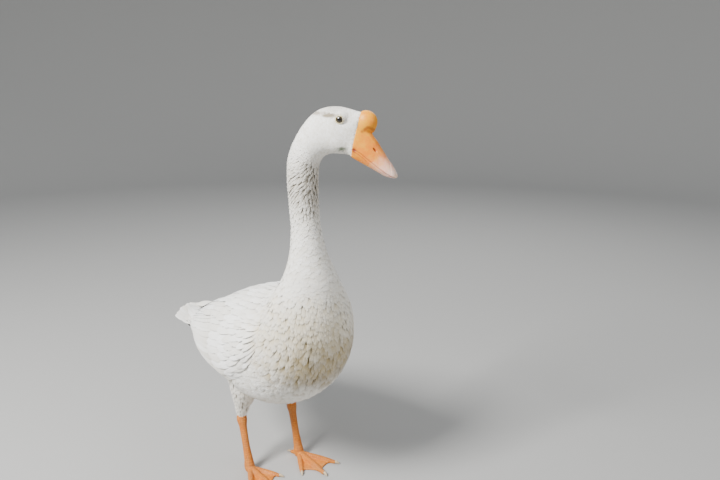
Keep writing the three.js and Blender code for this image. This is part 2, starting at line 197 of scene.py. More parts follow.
def grown_copy(node, into, by):
    part = bmesh.new()
    part.from_mesh(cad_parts[node].data)
    bmesh.ops.remove_doubles(part, verts=part.verts, dist=1e-6)
    part.normal_update()
    for vert in part.verts:
        vert.co += vert.normal * by
    grown = bpy.data.meshes.new(node)
    part.to_mesh(grown)
    part.free()
    into.from_mesh(grown)
    bpy.data.meshes.remove(grown)


def joined_solids(name, nodes, voxel, by=SWELL):
    """One closed mesh round these solids, each first grown by a little so that they meet."""
    joined = bmesh.new()
    for node in nodes:
        grown_copy(node, joined, by)
    mesh = bpy.data.meshes.new(name)
    joined.to_mesh(mesh)
    joined.free()
    return evaluated(name, mesh, [("REMESH", {"mode": "VOXEL", "voxel_size": voxel})])


def coordinates(mesh):
    values = np.empty(3 * len(mesh.vertices))
    mesh.vertices.foreach_get("co", values)
    return values.reshape(-1, 3)


def smooth_points(mesh, points, times):
    """The points, each drawn to the middle of its neighbours this many times."""
    pairs = np.empty(2 * len(mesh.edges), int)
    mesh.edges.foreach_get("vertices", pairs)
    pairs = pairs.reshape(-1, 2)
    both = np.concatenate([pairs, pairs[:, ::-1]])
    count = np.bincount(both[:, 0], minlength=len(points))[:, None]
    for _ in range(times):
        total = np.stack([np.bincount(both[:, 0], points[both[:, 1], i], len(points)) for i in range(3)], 1)
        points = 0.4 * points + 0.6 * total / count
    return points


def move_points(mesh, points):
    mesh.vertices.foreach_set("co", points.ravel())
    mesh.update()


def normals(mesh):
    values = np.empty(3 * len(mesh.vertices))
    mesh.vertices.foreach_get("normal", values)
    return values.reshape(-1, 3)


class Surface:
    """A closed mesh that feathers are laid on, with smooth normals."""

    def __init__(self, mesh):
        self.points = coordinates(mesh)
        self.normals = normals(mesh)
        mesh.calc_loop_triangles()
        faces = np.empty(3 * len(mesh.loop_triangles), int)
        mesh.loop_triangles.foreach_get("vertices", faces)
        self.faces = faces.reshape(-1, 3)
        self.face_normals = unit(self.normals[self.faces].sum(1))
        self.tree = BVHTree.FromPolygons(self.points.tolist(), self.faces.tolist())

    def nearest(self, points):
        hits = [self.tree.find_nearest(Vector(p)) for p in points.tolist()]
        return np.array([hit[0][:] for hit in hits]), self.face_normals[[hit[2] for hit in hits]]

    def cast(self, origins, ways):
        """Where rays from outside first meet the surface."""
        hits = [self.tree.ray_cast(Vector(o), Vector(w)) for o, w in zip(origins.tolist(), ways.tolist())]
        return np.array([hit[0][:] for hit in hits]), self.face_normals[[hit[2] for hit in hits]]


def cut_away(mesh, point, way, above=-1.0):
    """The mesh without what lies beyond this plane, closed again; nothing below this height is touched."""
    whole = bmesh.new()
    whole.from_mesh(mesh)
    faces = [face for face in whole.faces if min(vert.co.z for vert in face.verts) > above]
    # kept in the mesh's own order, so that every run cuts and numbers the faces alike
    corners_and_edges = dict.fromkeys(part for face in faces for part in (*face.verts, *face.edges))
    geometry = [*corners_and_edges, *faces]
    bmesh.ops.bisect_plane(whole, geom=geometry, plane_co=point, plane_no=way, clear_outer=True)
    bmesh.ops.holes_fill(whole, edges=[edge for edge in whole.edges if edge.is_boundary])
    bmesh.ops.triangulate(whole, faces=[face for face in whole.faces if len(face.verts) > 4])
    whole.to_mesh(mesh)
    whole.free()


def bill_plane(ahead):
    """A point and the forward direction of the plane this far ahead of the line where the bill starts."""
    (low, low_forward), (high, high_forward) = BILL_EDGE
    way = unit(np.array([high - low, 0, low_forward - high_forward]))
    point = np.array([low_forward, 0, low]) + ahead * way
    return turned(point, 1.0) * MM, turned(way + [NECK_AXIS, 0, 0], 1.0) - [NECK_AXIS, 0, 0]


def straightened(points):
    """Points in metres as millimetres, turned back to where they are with the head straight."""
    return turned(points / MM, -1.0)


def off_line(points, line):
    """How far each point is from a line of points, both as (forward, up)."""
    start, span = line[:-1], np.diff(line, axis=0)
    share = ((points[:, None] - start) * span).sum(-1) / (span**2).sum(-1)
    nearest = start + np.clip(share, 0, 1)[..., None] * span
    return np.linalg.norm(points[:, None] - nearest, axis=-1).min(1)


def line_mark(points, line, width):
    """1 on a line, fading out at about this width from it."""
    return np.exp(-((off_line(points, line) / width) ** 2))


def shaped_face(points):
    """The skin's points with the sockets filled to a rounded rise, and a furrow from each eye back."""
    straight = straightened(points)
    profile = straight[:, [0, 2]]
    far = np.linalg.norm(profile - EYE_AT, axis=1)
    round_out = np.sqrt(ORBIT**2 - np.minimum(far, ORBIT_SLOPE_FROM) ** 2)
    slope = ORBIT_SLOPE_FROM / math.sqrt(ORBIT**2 - ORBIT_SLOPE_FROM**2)
    opening = OPENING_DEEP * np.exp(-((far / OPENING_WIDE) ** 4))
    rise = EYE_APART + round_out - slope * np.maximum(far - ORBIT_SLOPE_FROM, 0) - opening
    out = np.abs(straight[:, 1])
    near_eye = (far < ORBIT_REACH) & (out > OFF_MIDLINE)
    out[near_eye] = np.maximum(out, rise)[near_eye]
    on_side = np.clip((out - BROW_OUT_FROM) / (BROW_OUT_FULL - BROW_OUT_FROM), 0, 1)
    on_side = on_side * (profile[:, 1] > BROW_ABOVE)
    out -= on_side * BROW_DEEP * line_mark(profile, BROW, BROW_WIDE)
    straight[:, 1] = np.sign(straight[:, 1]) * out
    return np.where(points[:, 2:] > HEAD_FROM, turned(straight, 1.0) * MM, points)


skin_parts = TRUNK_PARTS + NECK_PARTS + WING_PARTS + HORN_PARTS + ["shank_left", "shank_right"]
skin_mesh = joined_solids("skin", skin_parts, VOXEL)
cut_away(skin_mesh, (0, 0, SKIN_ENDS), (0, 0, -1))
move_points(skin_mesh, smooth_points(skin_mesh, coordinates(skin_mesh), SKIN_SMOOTHED))
cut_away(skin_mesh, *bill_plane(PAST_BILL_EDGE), above=HEAD_FROM)
depth = coat_at(coordinates(skin_mesh))[1][:, 3:4]
drawn_in = coordinates(skin_mesh) - normals(skin_mesh) * (SWELL + depth)
drawn_in[:, 0] -= TAIL_SHORTENED * np.minimum(drawn_in[:, 0] - TAIL_FROM, 0)
move_points(skin_mesh, smooth_points(skin_mesh, shaped_face(drawn_in), 1))
skin_mesh.shade_smooth()
skin = to_piece("skin", skin_mesh)
on_skin = Surface(skin_mesh)
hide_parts(*NECK_PARTS, "trunk", "thigh_left", "thigh_right")
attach(skin, "root")

# ---- Plumage ------------------------------------------------------------------------------------------
# Feathers are keratin, white right through: matt, with a faint sheen along the barbs, grey-yellow
# painted shade at their roots where the feathers over them would shade them, and yard dirt on the breast,
# in the furrows of the neck and on the tips behind. Shade is also painted into the furrow behind each eye,
# on the crown, and with the mud low on the breast.
# Real stains, and painted shade in the furrows behind the eyes, on the crown and low on the breast.
STAINS_AND_SHADES = {  # colour, middle and reach in millimetres, strength, whether it is placed with the head straight
    # Yard mud on the lower front breast, made darker and wider than the dirt alone so that it also paints in
    # the shade low on the breast.
    "mud_and_shade":     ("#7c6438", (206, 8, 262), (84, 100, 62), 0.90, False),
    "straw":   ("#d6c189", (200, -18, 312), (88, 112, 84), 0.60, False),
    "grease":  ("#8f8470", (168, 0, 548), (60, 60, 58), 0.62, False),
    "collar":  ("#c9c1b0", (190, 0, 425), (70, 70, 60), 0.25, False),
    "tail":    ("#b3a78f", (-285, 0, 232), (95, 90, 60), 0.40, False),
    "belly":   ("#bfae8a", (40, 0, 158), (170, 90, 50), 0.50, False),
    # Painted shade: these three rows darken the furrow that runs back from each eye, where shade falls in it.
    "brow_shade_right":   ("#7a694c", (213, -20, 664.8), (14, 10, 3.8), 0.90, True),
    "brow_shade_left":    ("#7a694c", (213, 20, 664.8), (14, 10, 3.8), 0.90, True),
    "brow_hind_shade":    ("#85765f", (198, 0, 667.4), (20, 24, 3.8), 0.75, True),
    # Painted shade: a grey cast over the top of the head.
    "crown_shade":        ("#a39889", (215, 0, 673), (17, 24, 10), 0.45, True),
    "throat_right": ("#66705a", (233, -16, 615), (11, 9, 5.0), 0.95, True),
    "throat_left":  ("#66705a", (233, 16, 615), (11, 9, 5.0), 0.95, True),
}
STAIN_AND_SHADE_PATCH = 35 * MM
BARB_SPACING = 0.9 * MM  # real barbs lie about 0.4 mm apart; drawn coarser so that they show


def to_linear(value):
    return value / 12.92 if value <= 0.04045 else ((value + 0.055) / 1.055) ** 2.4


def colour(code):
    """An sRGB hex value as a linear colour."""
    return (*(to_linear(int(code[i : i + 2], 16) / 255) for i in (1, 3, 5)), 1.0)


def add_node(tree, kind, links=(), output=0, **settings):
    """The output of a new node with these settings, its inputs set or linked by name or number."""
    made = tree.nodes.new(kind)
    for key, value in settings.items():
        setattr(made, key, value)
    for key, value in dict(links).items():
        if isinstance(value, bpy.types.NodeSocket):
            tree.links.new(value, made.inputs[key])
        else:
            made.inputs[key].default_value = value
    return made.outputs[output]


def new_finish(name, sockets):
    """A material with these of the shader's own sockets set, its node tree and its shader."""
    material = bpy.data.materials.new(name)
    material.use_nodes = True
    shader = material.node_tree.nodes["Principled BSDF"]
    for key, value in sockets.items():
        shader.inputs[key].default_value = value
    return material, material.node_tree, shader


# Keratin barbs scatter the light: matt white with a faint sheen, greyer where dirt has caught in them,
# and with shade painted in at the roots of the feathers and on the skin between them.
plumage, tree, shader = new_finish(
    "goose feather, grown white keratin",
    {"Roughness": 0.72, "Sheen Weight": 0.12, "Sheen Roughness": 0.4},
)
place = add_node(tree, "ShaderNodeTexCoord", output="Object")
along = add_node(tree, "ShaderNodeAttribute", output="Fac", attribute_name="along")
tone = add_node(tree, "ShaderNodeAttribute", output="Fac", attribute_name="tone")
barb = add_node(tree, "ShaderNodeAttribute", output="Fac", attribute_name="barb")
patches = add_node(
    tree, "ShaderNodeTexNoise", {"Vector": place, "Scale": 1 / STAIN_AND_SHADE_PATCH, "Detail": 3.0}, "Fac"
)
white = add_node(
    tree, "ShaderNodeMix", {0: tone, 6: colour("#fbfaf6"), 7: colour("#e9e5db")}, 2, data_type="RGBA"
)
ragged = add_node(tree, "ShaderNodeMath", {0: patches, 1: 0.9, 2: -0.7}, operation="MULTIPLY_ADD")
picked = add_node(tree, "ShaderNodeMath", {0: tone, 1: 0.5, 2: ragged}, operation="MULTIPLY_ADD")
buried = add_node(tree, "ShaderNodeMapRange", {0: along, 1: 0.3, 2: 1.0, 3: 1.0, 4: 0.5})
# Real stains and painted shade alike are mixed over the white, each with a ragged edge.
for stain_and_shade, middle, reach, strength, on_head in STAINS_AND_SHADES.values():
    centred = add_node(
        tree,
        "ShaderNodeMapping",
        {
            "Vector": place,
            "Location": turned(np.array(middle, float), float(on_head)) * MM,
            "Rotation": (0, 0, HEAD_TURN * on_head),
            "Scale": [MM * value for value in reach],
        },
        vector_type="TEXTURE",
    )
    away = add_node(tree, "ShaderNodeVectorMath", {0: centred}, "Value", operation="LENGTH")
    edge = add_node(tree, "ShaderNodeMath", {0: away, 1: picked}, operation="ADD")
    amount = add_node(
        tree,
        "ShaderNodeMapRange",
        {0: edge, 1: 1.25, 2: 0.35, 3: 0.0, 4: strength},
        interpolation_type="SMOOTHSTEP",
    )
    if not on_head:
        amount = add_node(tree, "ShaderNodeMath", {0: amount, 1: buried}, operation="MULTIPLY")
    white = add_node(tree, "ShaderNodeMix", {0: amount, 6: white, 7: colour(stain_and_shade)}, 2, data_type="RGBA")
# Painted shade: each feather greys towards its root, where the feathers over it would shade it; the skin has
# no along value, so it takes the full amount where it shows between feathers.
root = add_node(tree, "ShaderNodeMapRange", {0: along, 1: 0.1, 2: 0.85, 3: 0.6, 4: 0.0})
base = add_node(
    tree,
    "ShaderNodeMix",
    {0: root, 6: white, 7: colour("#d9d2c0")},
    2,
    data_type="RGBA",
    blend_type="MULTIPLY",
)
tree.links.new(base, shader.inputs["Base Color"])
barbs = add_node(tree, "ShaderNodeMath", {0: barb, 1: 2 * math.pi / BARB_SPACING}, operation="MULTIPLY")
ripple = add_node(tree, "ShaderNodeMath", {0: barbs}, operation="SINE")
bump = add_node(tree, "ShaderNodeBump", {"Height": ripple, "Strength": 0.3, "Distance": 0.08 * MM})
tree.links.new(bump, shader.inputs["Normal"])
# The skin takes this finish with no along value, so it shows the full painted root shade between the
# feathers.
skin_mesh.materials.append(plumage)

# ---- Folded wings -------------------------------------------------------------------------------------
# Stiff vanes with a raised shaft lie in rows along each side: small coverts at the bend of the wing, then
# longer rows, the secondaries, and the primaries whose tips lie over the tail. Each row overlaps the next.
TRUNK_RINGS = {  # forward: height of the axis, half width, half height
    150: (285, 92, 100), 120: (266, 94, 110), 60: (246, 96, 118), 0: (237, 92, 106), -60: (234, 83, 82),
    -120: (232, 66, 49), -180: (229, 49, 22), -210: (228, 46, 14), -255: (230, 46, 7), -290: (231, 20, 5),
}
QUILLS = {
    # row: number, roots and tips from the upper end to the lower (forward, degrees from the back line),
    # width at each end, height of the roots and tips over the coat's outline, share of the length that is
    # round, how far the lower edge stands up over the next feather
    "primaries":       (8, (-62, 52), (-50, 84), (-266, 9), (-196, 50), 20, 20, -4.5, -2.0, 0.16, 1.9),
    "secondaries":     (13, (12, 46), (40, 106), (-172, 46), (-74, 108), 24, 22, -4.5, -1.6, 0.22, 2.3),
    "tertials":        (5, (18, 18), (12, 44), (-204, 12), (-172, 40), 34, 30, -4.0, -0.8, 0.28, 2.1),
    "greater_coverts": (11, (64, 42), (80, 106), (-26, 44), (14, 111), 20, 17, -4.0, -0.8, 0.40, 1.35),
    "median_coverts":  (10, (96, 44), (106, 102), (18, 44), (50, 109), 19, 16, -3.6, -0.3, 0.48, 1.35),
    "lesser_coverts":  (10, (112, 46), (121, 99), (50, 45), (76, 106), 17, 14, -3.2, 0.0, 0.52, 1.35),
    "small_coverts":   (10, (127, 48), (134, 95), (78, 47), (97, 102), 15, 12, -3.0, 0.3, 0.56, 1.35),
    "front_coverts":   (9, (140, 52), (145, 90), (102, 49), (114, 97), 13, 11, -2.8, 0.5, 0.58, 1.35),
    "bend_coverts":    (8, (153, 56), (155, 84), (124, 54), (130, 92), 11, 9, -2.6, 0.6, 0.6, 1.35),
    "scapulars_tail":  (6, (-60, 6), (-44, 40), (-150, 8), (-126, 41), 27, 25, -3.8, 0.0, 0.46, 1.35),
    "scapulars_low":   (7, (-20, 4), (0, 46), (-110, 6), (-84, 47), 25, 23, -3.6, 0.3, 0.48, 1.35),
    "scapulars_mid":   (8, (20, 4), (38, 49), (-62, 5), (-36, 50), 24, 21, -3.4, 0.7, 0.50, 1.35),
    "scapulars_high":  (8, (58, 4), (72, 52), (-14, 4), (10, 53), 23, 20, -3.2, 1.0, 0.52, 1.35),
    "scapulars_top":   (9, (92, 5), (102, 54), (30, 4), (50, 56), 21, 18, -3.1, 1.2, 0.54, 1.35),
    "scapulars_front": (9, (120, 7), (128, 58), (70, 5), (84, 59), 19, 16, -3.0, 1.4, 0.56, 1.35),
}
VANE_COLUMNS = np.array([-1, -0.68, -0.36, -0.07, 0, 0.07, 0.36, 0.68, 1])
VANE_ROWS = 15
VANE_SHARES = np.sin(np.linspace(0, np.pi / 2, VANE_ROWS + 2))  # closer together towards the round end
SHAFT_HEIGHT, SHAFT_TAPER = 0.7, 0.7
LEAF = 0.3  # half the thickness of a vane
CAMBER, CAMBER_WIDTH = 1.3, 25  # how far the edges of a vane this wide curve down
TILT = 1.35  # how far the lower edge stands up over the next feather, where its row doesn't say
RAGGED = 0.07  # how far the edge is worn in, as a share of the half width
SPLIT_CHANCE, SPLIT_DEEP = 0.06, 0.16  # notches where barbs have come apart
BARB_SLANT = 0.9  # how far a barb runs towards the tip for each step outward
ROOT_STRAY, TIP_STRAY = (1.5, 0.6), (3.8, 1.0)  # forward, and in degrees round the body
WIDTH_STRAY = 0.06
PROUD_BY = 0.8  # the share of its length by which a feather has risen to its full height
PATCH = 0.003  # the width of one feather on the unwrapped skin
WING_MAP_FROM, WING_MAP_LONG, WING_MAP_ROUND = -0.3, 0.5, 260  # metres and degrees on the unwrapped wing
OUTLINE_VOXEL, OUTLINE_SMOOTHED = 4 * MM, 5
RAYS_FROM = 100 * MM  # how far outside the body its outline is looked for from
SEED = 11
rng = np.random.default_rng(SEED)


def smooth_step(value, low=0.0, high=1.0):
    share = np.clip((value - low) / (high - low), 0, 1)
    return share * share * (3 - 2 * share)


def sheath(ring, rows):
    """Triangles of a closed tube: rows of ring points, then the point at its root and the one at its tip."""
    faces = []
    root, tip = ring * rows, ring * rows + 1
    for i in range(ring):
        j = (i + 1) % ring
        for row in range(rows - 1):
            near, far = ring * row, ring * (row + 1)
            faces += [(near + i, near + j, far + j), (near + i, far + j, far + i)]
        last = ring * (rows - 1)
        faces += [(root, j, i), (last + i, last + j, tip)]
    return np.array(faces)


def copies(triangles, size, number):
    """The same triangles for each of a number of like feathers, each with this many points."""
    return (triangles[None] + size * np.arange(number)[:, None, None]).reshape(-1, 3)


def give(mesh, name, values):
    """A number for each point of the mesh, for its material to read."""
    layer = mesh.attributes.new(name, "FLOAT", "POINT")
    layer.data.foreach_set("value", np.ascontiguousarray(values, float))


def feather_mesh(name, points, faces, shade, attributes, places):
    """A mesh of triangles with its own normals, its attributes and its place on the unwrapped skin."""
    mesh = bpy.data.meshes.new(name)
    mesh.vertices.add(len(points))
    mesh.vertices.foreach_set("co", points.ravel())
    mesh.loops.add(faces.size)
    mesh.loops.foreach_set("vertex_index", faces.ravel())
    mesh.polygons.add(len(faces))
    mesh.polygons.foreach_set("loop_start", np.arange(0, faces.size, 3))
    mesh.update(calc_edges=True)
    mesh.shade_smooth()
    for key, values in attributes.items():
        give(mesh, key, values.ravel())
    mesh.uv_layers.new(name="OFBake").uv.foreach_set("vector", places[faces.ravel()].ravel())
    mesh.normals_split_custom_set_from_vertices(shade.tolist())
    mesh.materials.append(plumage)
    return mesh


def joined_feathers(name, batches, *replaced):
    """One piece of the coat from batches of points, faces, normals, attributes and places."""
    points, faces, shade, attributes, places = zip(*batches)
    starts = np.cumsum([0] + [len(part) for part in points[:-1]])
    mesh = feather_mesh(
        name,
        np.concatenate(points),
        np.concatenate([part + start for part, start in zip(faces, starts)]),
        np.concatenate(shade),
        {key: np.concatenate([part[key] for part in attributes]) for key in attributes[0]},
        np.clip(np.concatenate(places), 0, 1),
    )
    piece = to_piece(name, mesh)
    if replaced:
        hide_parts(*replaced)
    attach(piece, "root")


def onto_outline(side, forward, angle):
    """Points and normals on the coat's outline, this far forward and round from the back line."""
    stations = np.array(sorted(TRUNK_RINGS))
    rings = np.array([TRUNK_RINGS[x] for x in stations], float)
    height, wide, tall = (np.interp(forward, stations, column) for column in rings.T)
    round_to = np.radians(angle)
    on_ring = np.stack([forward, side * wide * np.sin(round_to), height + tall * np.cos(round_to)], -1)
    away = unit(np.stack([0 * forward, side * np.sin(round_to) / wide, np.cos(round_to) / tall], -1))
    return outline.cast(on_ring * MM + away * RAYS_FROM, -away)


def quill_row(
    side, number, root_top, root_low, tip_top, tip_low, wide_top, wide_low, sunk, proud, blunt, tilt
):
    """One row of vanes along the wing, from its upper end to its lower."""
    row = (np.arange(number) / (number - 1))[:, None]
    root = (1 - row) * root_top + row * root_low + rng.normal(0, ROOT_STRAY, (number, 2))
    tip = (1 - row) * tip_top + row * tip_low + rng.normal(0, TIP_STRAY, (number, 2))
    spots = root[:, None] + (tip - root)[:, None] * VANE_SHARES[:, None]
    at, out = onto_outline(side, spots[..., 0].ravel(), spots[..., 1].ravel())
    shape = spots.shape[:2] + (3,)
    at, out = at.reshape(shape), out.reshape(shape)
    for _ in range(2):
        at[:, 1:-1] = (at[:, :-2] + 2 * at[:, 1:-1] + at[:, 2:]) / 4
        out[:, 1:-1] = unit(out[:, :-2] + 2 * out[:, 1:-1] + out[:, 2:])
    at += out * (MM * (sunk + (proud - sunk) * smooth_step(VANE_SHARES, 0, PROUD_BY)))[:, None]
    width = (1 - row[:, 0]) * wide_top + row[:, 0] * wide_low
    width = width * rng.uniform(1 - WIDTH_STRAY, 1 + WIDTH_STRAY, number)
    along_wing = (at[:, 0, 0] - WING_MAP_FROM) / WING_MAP_LONG
    place = np.stack([along_wing, 0.5 + side * root[:, 1] / WING_MAP_ROUND], 1)
    return vanes(at, out, width, blunt, side, place, tilt)


def vanes(at, out, width, blunt, side, place, tilt=TILT):
    """Stiff feathers along paths with outward directions: points, faces, normals, attributes, places."""
    number, share = len(at), VANE_SHARES
    onward = unit(np.gradient(at, axis=1))
    out = unit(out - (out * onward).sum(-1, keepdims=True) * onward)
    low = side * np.cross(onward, out)
    past = np.clip((share - 1 + blunt) / blunt, 0, 1)
    half = (0.5 + 0.5 * smooth_step(share, 0, 0.4)) * np.sqrt(np.maximum(1 - past**2, 0))
    ragged = 1 - RAGGED * rng.random((number, len(share), len(VANE_COLUMNS))) ** 3
    split = rng.random((number, len(share), 1)) < SPLIT_CHANCE
    ragged[:, :, [0, -1]] -= SPLIT_DEEP * split
    lean = VANE_COLUMNS * ragged
    across = lean * half[:, None] * width[:, None, None] / 2
    rise = tilt * lean * half[:, None] - CAMBER * lean**2 * (width[:, None, None] / CAMBER_WIDTH) ** 2
    rise = rise + LEAF + SHAFT_HEIGHT * (VANE_COLUMNS == 0) * (1 - SHAFT_TAPER * share[:, None])
    rise = rise - 0.5 * LEAF * (np.abs(VANE_COLUMNS) == 1)
    grid = at[:, :, None] + MM * (low[:, :, None] * across[..., None] + out[:, :, None] * rise[..., None])
    under = at - MM * LEAF * out
    bend = np.cross(np.gradient(grid, axis=2), np.gradient(grid, axis=1)) * side
    bend = unit(bend + 1e-9 * out[:, :, None])
    ring = np.concatenate([grid, under[:, :, None]], 2)[:, 1:-1]
    ring_shade = np.concatenate([bend, -out[:, :, None]], 2)[:, 1:-1]
    points = np.concatenate([ring.reshape(number, -1, 3), at[:, :1], at[:, -1:]], 1)
    shade = np.concatenate([ring_shade.reshape(number, -1, 3), out[:, :1], out[:, -1:]], 1)
    size = points.shape[1]
    length = np.linalg.norm(np.diff(at, axis=1), axis=-1).sum(1)
    columns = len(VANE_COLUMNS) + 1
    ring_share = np.repeat(share[1:-1], columns)
    along = np.concatenate([ring_share, [0, 1]])
    sideways = np.concatenate([across, 0 * across[..., :1]], 2)[:, 1:-1].reshape(number, -1) * MM
    sideways = np.concatenate([sideways, np.zeros((number, 2))], 1)
    attributes = {
        "along": np.tile(np.clip(0.15 + 1.2 * along, 0, 1), number),
        "tone": np.repeat(rng.random(number), size),
        "barb": (length[:, None] * along - BARB_SLANT * np.abs(sideways)).ravel(),
    }
    patch = np.stack([sideways / (width[:, None] * MM), np.tile(along - 0.5, (number, 1))], -1)
    faces = copies(sheath(columns, VANE_ROWS), size, number)
    if side < 0:
        faces = faces[:, ::-1]
    places = (place[:, None] + PATCH * patch).reshape(-1, 2)
    return points.reshape(-1, 3), faces, shade.reshape(-1, 3), attributes, places


outline_mesh = joined_solids("outline", TRUNK_PARTS + WING_PARTS + TIP_PARTS, OUTLINE_VOXEL)
move_points(outline_mesh, smooth_points(outline_mesh, coordinates(outline_mesh), OUTLINE_SMOOTHED))
outline = Surface(outline_mesh)
for side, hand in ((1, "left"), (-1, "right")):
    rows = [quill_row(side, number, *map(np.array, sizes)) for number, *sizes in QUILLS.values()]
    solids = [f"wing_{hand}_{part}" for part in ("coverts", "secondaries", "primaries")]
    joined_feathers(f"wing_{hand}_feathers", rows, *solids)

# ---- Tail ---------------------------------------------------------------------------------------------
# Stiff feathers fan out a little from the end of the body, the middle pair on top. Softer coverts lie over
# their roots on both faces.
TAIL_ROWS = {
    # row: number, roots and tips (forward, half spread, height), how far forward and down the outer tips lie,
    # width, share of the length that is round, 1 where the outer face is up and -1 where it is down
    "quills":      (14, (-168, 43, 229), (-284, 43, 231), 26, 9, 19, 0.20, 1),
    "over_first":  (10, (-104, 34, 262), (-172, 40, 252), 4, 18, 22, 0.48, 1),
    "over_short":  (12, (-128, 34, 249), (-204, 44, 240), 6, 13, 21, 0.45, 1),
    "over_long":   (12, (-152, 30, 238), (-238, 41, 234), 12, 9, 20, 0.42, 1),
    "under_short": (12, (-120, 40, 198), (-196, 46, 215), 4, -10, 23, 0.45, -1),
    "under_long":  (12, (-148, 34, 208), (-234, 41, 226), 10, 5, 21, 0.42, -1),
}
ROOTS_ARCH = 0.3  # how much of the row's arch its roots have
MIDDLE_PROUD = 1.5  # how far the middle pair lies over the rest
TAIL_STRAY = 1.6
TAIL_SAG = 2.0
TAIL_MAP_MIDDLE, TAIL_MAP_HALF, TAIL_MAP_OVER, TAIL_MAP_UNDER = 0.5, 0.4, 0.1, 0.4  # on the unwrapped tail


def tail_row(side, number, root, tip, shorter, arch, width, blunt, face):
    """The vanes of one row of the tail on one side, from the middle outwards."""
    from_middle = (np.arange(number // 2) + 0.5)[:, None] / (number / 2)
    mine = side * from_middle
    start = np.stack([root[0] + 0 * mine, mine * root[1], root[2] - ROOTS_ARCH * arch * mine**2], -1)
    drop = arch * mine**2 - MIDDLE_PROUD * face * (1 - from_middle)
    stray = rng.normal(0, TAIL_STRAY, mine.shape)
    end = np.stack([tip[0] + shorter * mine**2 + stray, mine * tip[1], tip[2] - drop], -1)
    path = (start + (end - start) * VANE_SHARES[:, None]) * MM
    path[..., 2] -= TAIL_SAG * MM * np.sin(np.pi * VANE_SHARES) * face
    out = np.broadcast_to([0.02, 0, 1.0 * face], path.shape) + np.stack([0 * mine, 0.2 * mine, 0 * mine], -1)
    across_map = TAIL_MAP_MIDDLE + TAIL_MAP_HALF * mine[:, 0]
    along_map = np.full(len(mine), TAIL_MAP_OVER if face > 0 else TAIL_MAP_UNDER)
    place = np.stack([across_map, along_map], 1)
    return vanes(path, unit(out), np.full(len(mine), float(width)), blunt, side * face, place)


tail_batches = [tail_row(side, *quills) for quills in TAIL_ROWS.values() for side in (1, -1)]
joined_feathers("tail_feathers", tail_batches, "tail")

# ---- Contour feathers ---------------------------------------------------------------------------------
# Small feathers with a split, soft vane cover the whole skin. Their roots are spread evenly, each shaft
# follows the lie of the coat along the skin, and the vane rises from its root to the outside of the coat.
SHAFT_STEPS = 5
VANE_KINDS = 6  # differently split vanes of each sort
TRIES = 8  # places tried for each root that there is room for
EYE_CLEAR = 6.3  # no feather is rooted this close round an eye
EYE_PARTING, PARTING_PUSH = 15, 1.3  # the coat parts round the eye, within this reach
FACE_FROM, HEAD_FEATHERS_FROM = 620, 570  # heights
SHORT_BY_EYE, SHORT_REACH, SHORT_PAST = 0.25, 7.5, 1.5  # feathers ahead of the eye are shorter
SHAFT_STRAY, SIZE_STRAY = 0.10, 0.14
PETAL_ROOTS = 0.35  # how far apart a vane's petals start, where 1 is half its width
PETAL_SHORTER, PETAL_STRAY, PETAL_SAG = 0.14, 0.05, 0.10
TIP_LIFT = 2.0
WING_COVER = 14 * MM  # a root with a wing's feathers this close above it is hidden, and left out
RUMP_FROM = -105 * MM  # behind this the rump shows between and below the wings' tips


def scatter(surface, allowed):
    """Roots spread evenly over a surface, no two closer than the coat's room there."""
    corners = surface.points[surface.faces]
    area = np.linalg.norm(np.cross(corners[:, 1] - corners[:, 0], corners[:, 2] - corners[:, 0]), axis=1) / 2
    wanted = TRIES * area / coat_at(corners.mean(1))[1][:, 0] ** 2
    chosen = rng.choice(len(area), int(wanted.sum()), p=wanted / wanted.sum())
    share = rng.dirichlet([1, 1, 1], len(chosen))
    spots = (corners[chosen] * share[:, :, None]).sum(1)
    spots = spots[allowed(spots)]
    room = coat_at(spots)[1][:, 0]
    near = KDTree(len(spots))
    for i, spot in enumerate(spots):
        near.insert(spot, i)
    near.balance()
    free = np.ones(len(spots), bool)
    kept = []
    for i in range(len(spots)):
        if free[i]:
            kept.append(i)
            for _, j, _ in near.find_range(spots[i], room[i]):
                free[j] = False
    return spots[kept]


def parted(points, ways):
    """The ways, bent to pass round the eyes."""
    straight = straightened(points)
    off = straight - [EYE_AT[0], 0, EYE_AT[1]]
    off[:, 1] = 0
    far = np.linalg.norm(off, axis=1, keepdims=True)
    aside = turned(off / far + [NECK_AXIS, 0, 0], 1.0) - [NECK_AXIS, 0, 0]
    near = np.clip(1 - far / EYE_PARTING, 0, 1) * (straight[:, 2:] > FACE_FROM)
    toward = np.maximum(-(ways * aside).sum(1, keepdims=True), 0)
    return unit(ways + PARTING_PUSH * near**0.5 * toward * aside)


def room_at_eye(points):
    """How much of its length a feather rooted here may have, so that none lies over the eye."""
    straight = straightened(points)
    far = np.hypot(straight[:, 0] - EYE_AT[0], straight[:, 2] - EYE_AT[1])
    ahead = (straight[:, 0] > EYE_AT[0] - 3) & (straight[:, 2] > FACE_FROM)
    return np.where(ahead, np.clip((far - EYE_CLEAR + SHORT_PAST) / SHORT_REACH, SHORT_BY_EYE, 1), 1)


def shafts(surface, roots, length):
    """The path of each shaft along the surface, with its direction, outward and sideways vectors."""
    at, out = surface.nearest(roots)
    path, up, onward = [at], [out], []
    stray = rng.normal(0, SHAFT_STRAY, (len(roots), 1))
    for _ in range(SHAFT_STEPS):
        way = parted(at, coat_at(at)[0])
        way = unit(way - (way * out).sum(1, keepdims=True) * out)
        way = unit(way + stray * np.cross(way, out))
        onward.append(way)
        at, out = surface.nearest(at + way * length[:, None] / SHAFT_STEPS)
        path.append(at)
        up.append(out)
    onward.append(onward[-1])
    path, up, onward = np.stack(path, 1), np.stack(up, 1), np.stack(onward, 1)
    return path, onward, up, np.cross(onward, up)


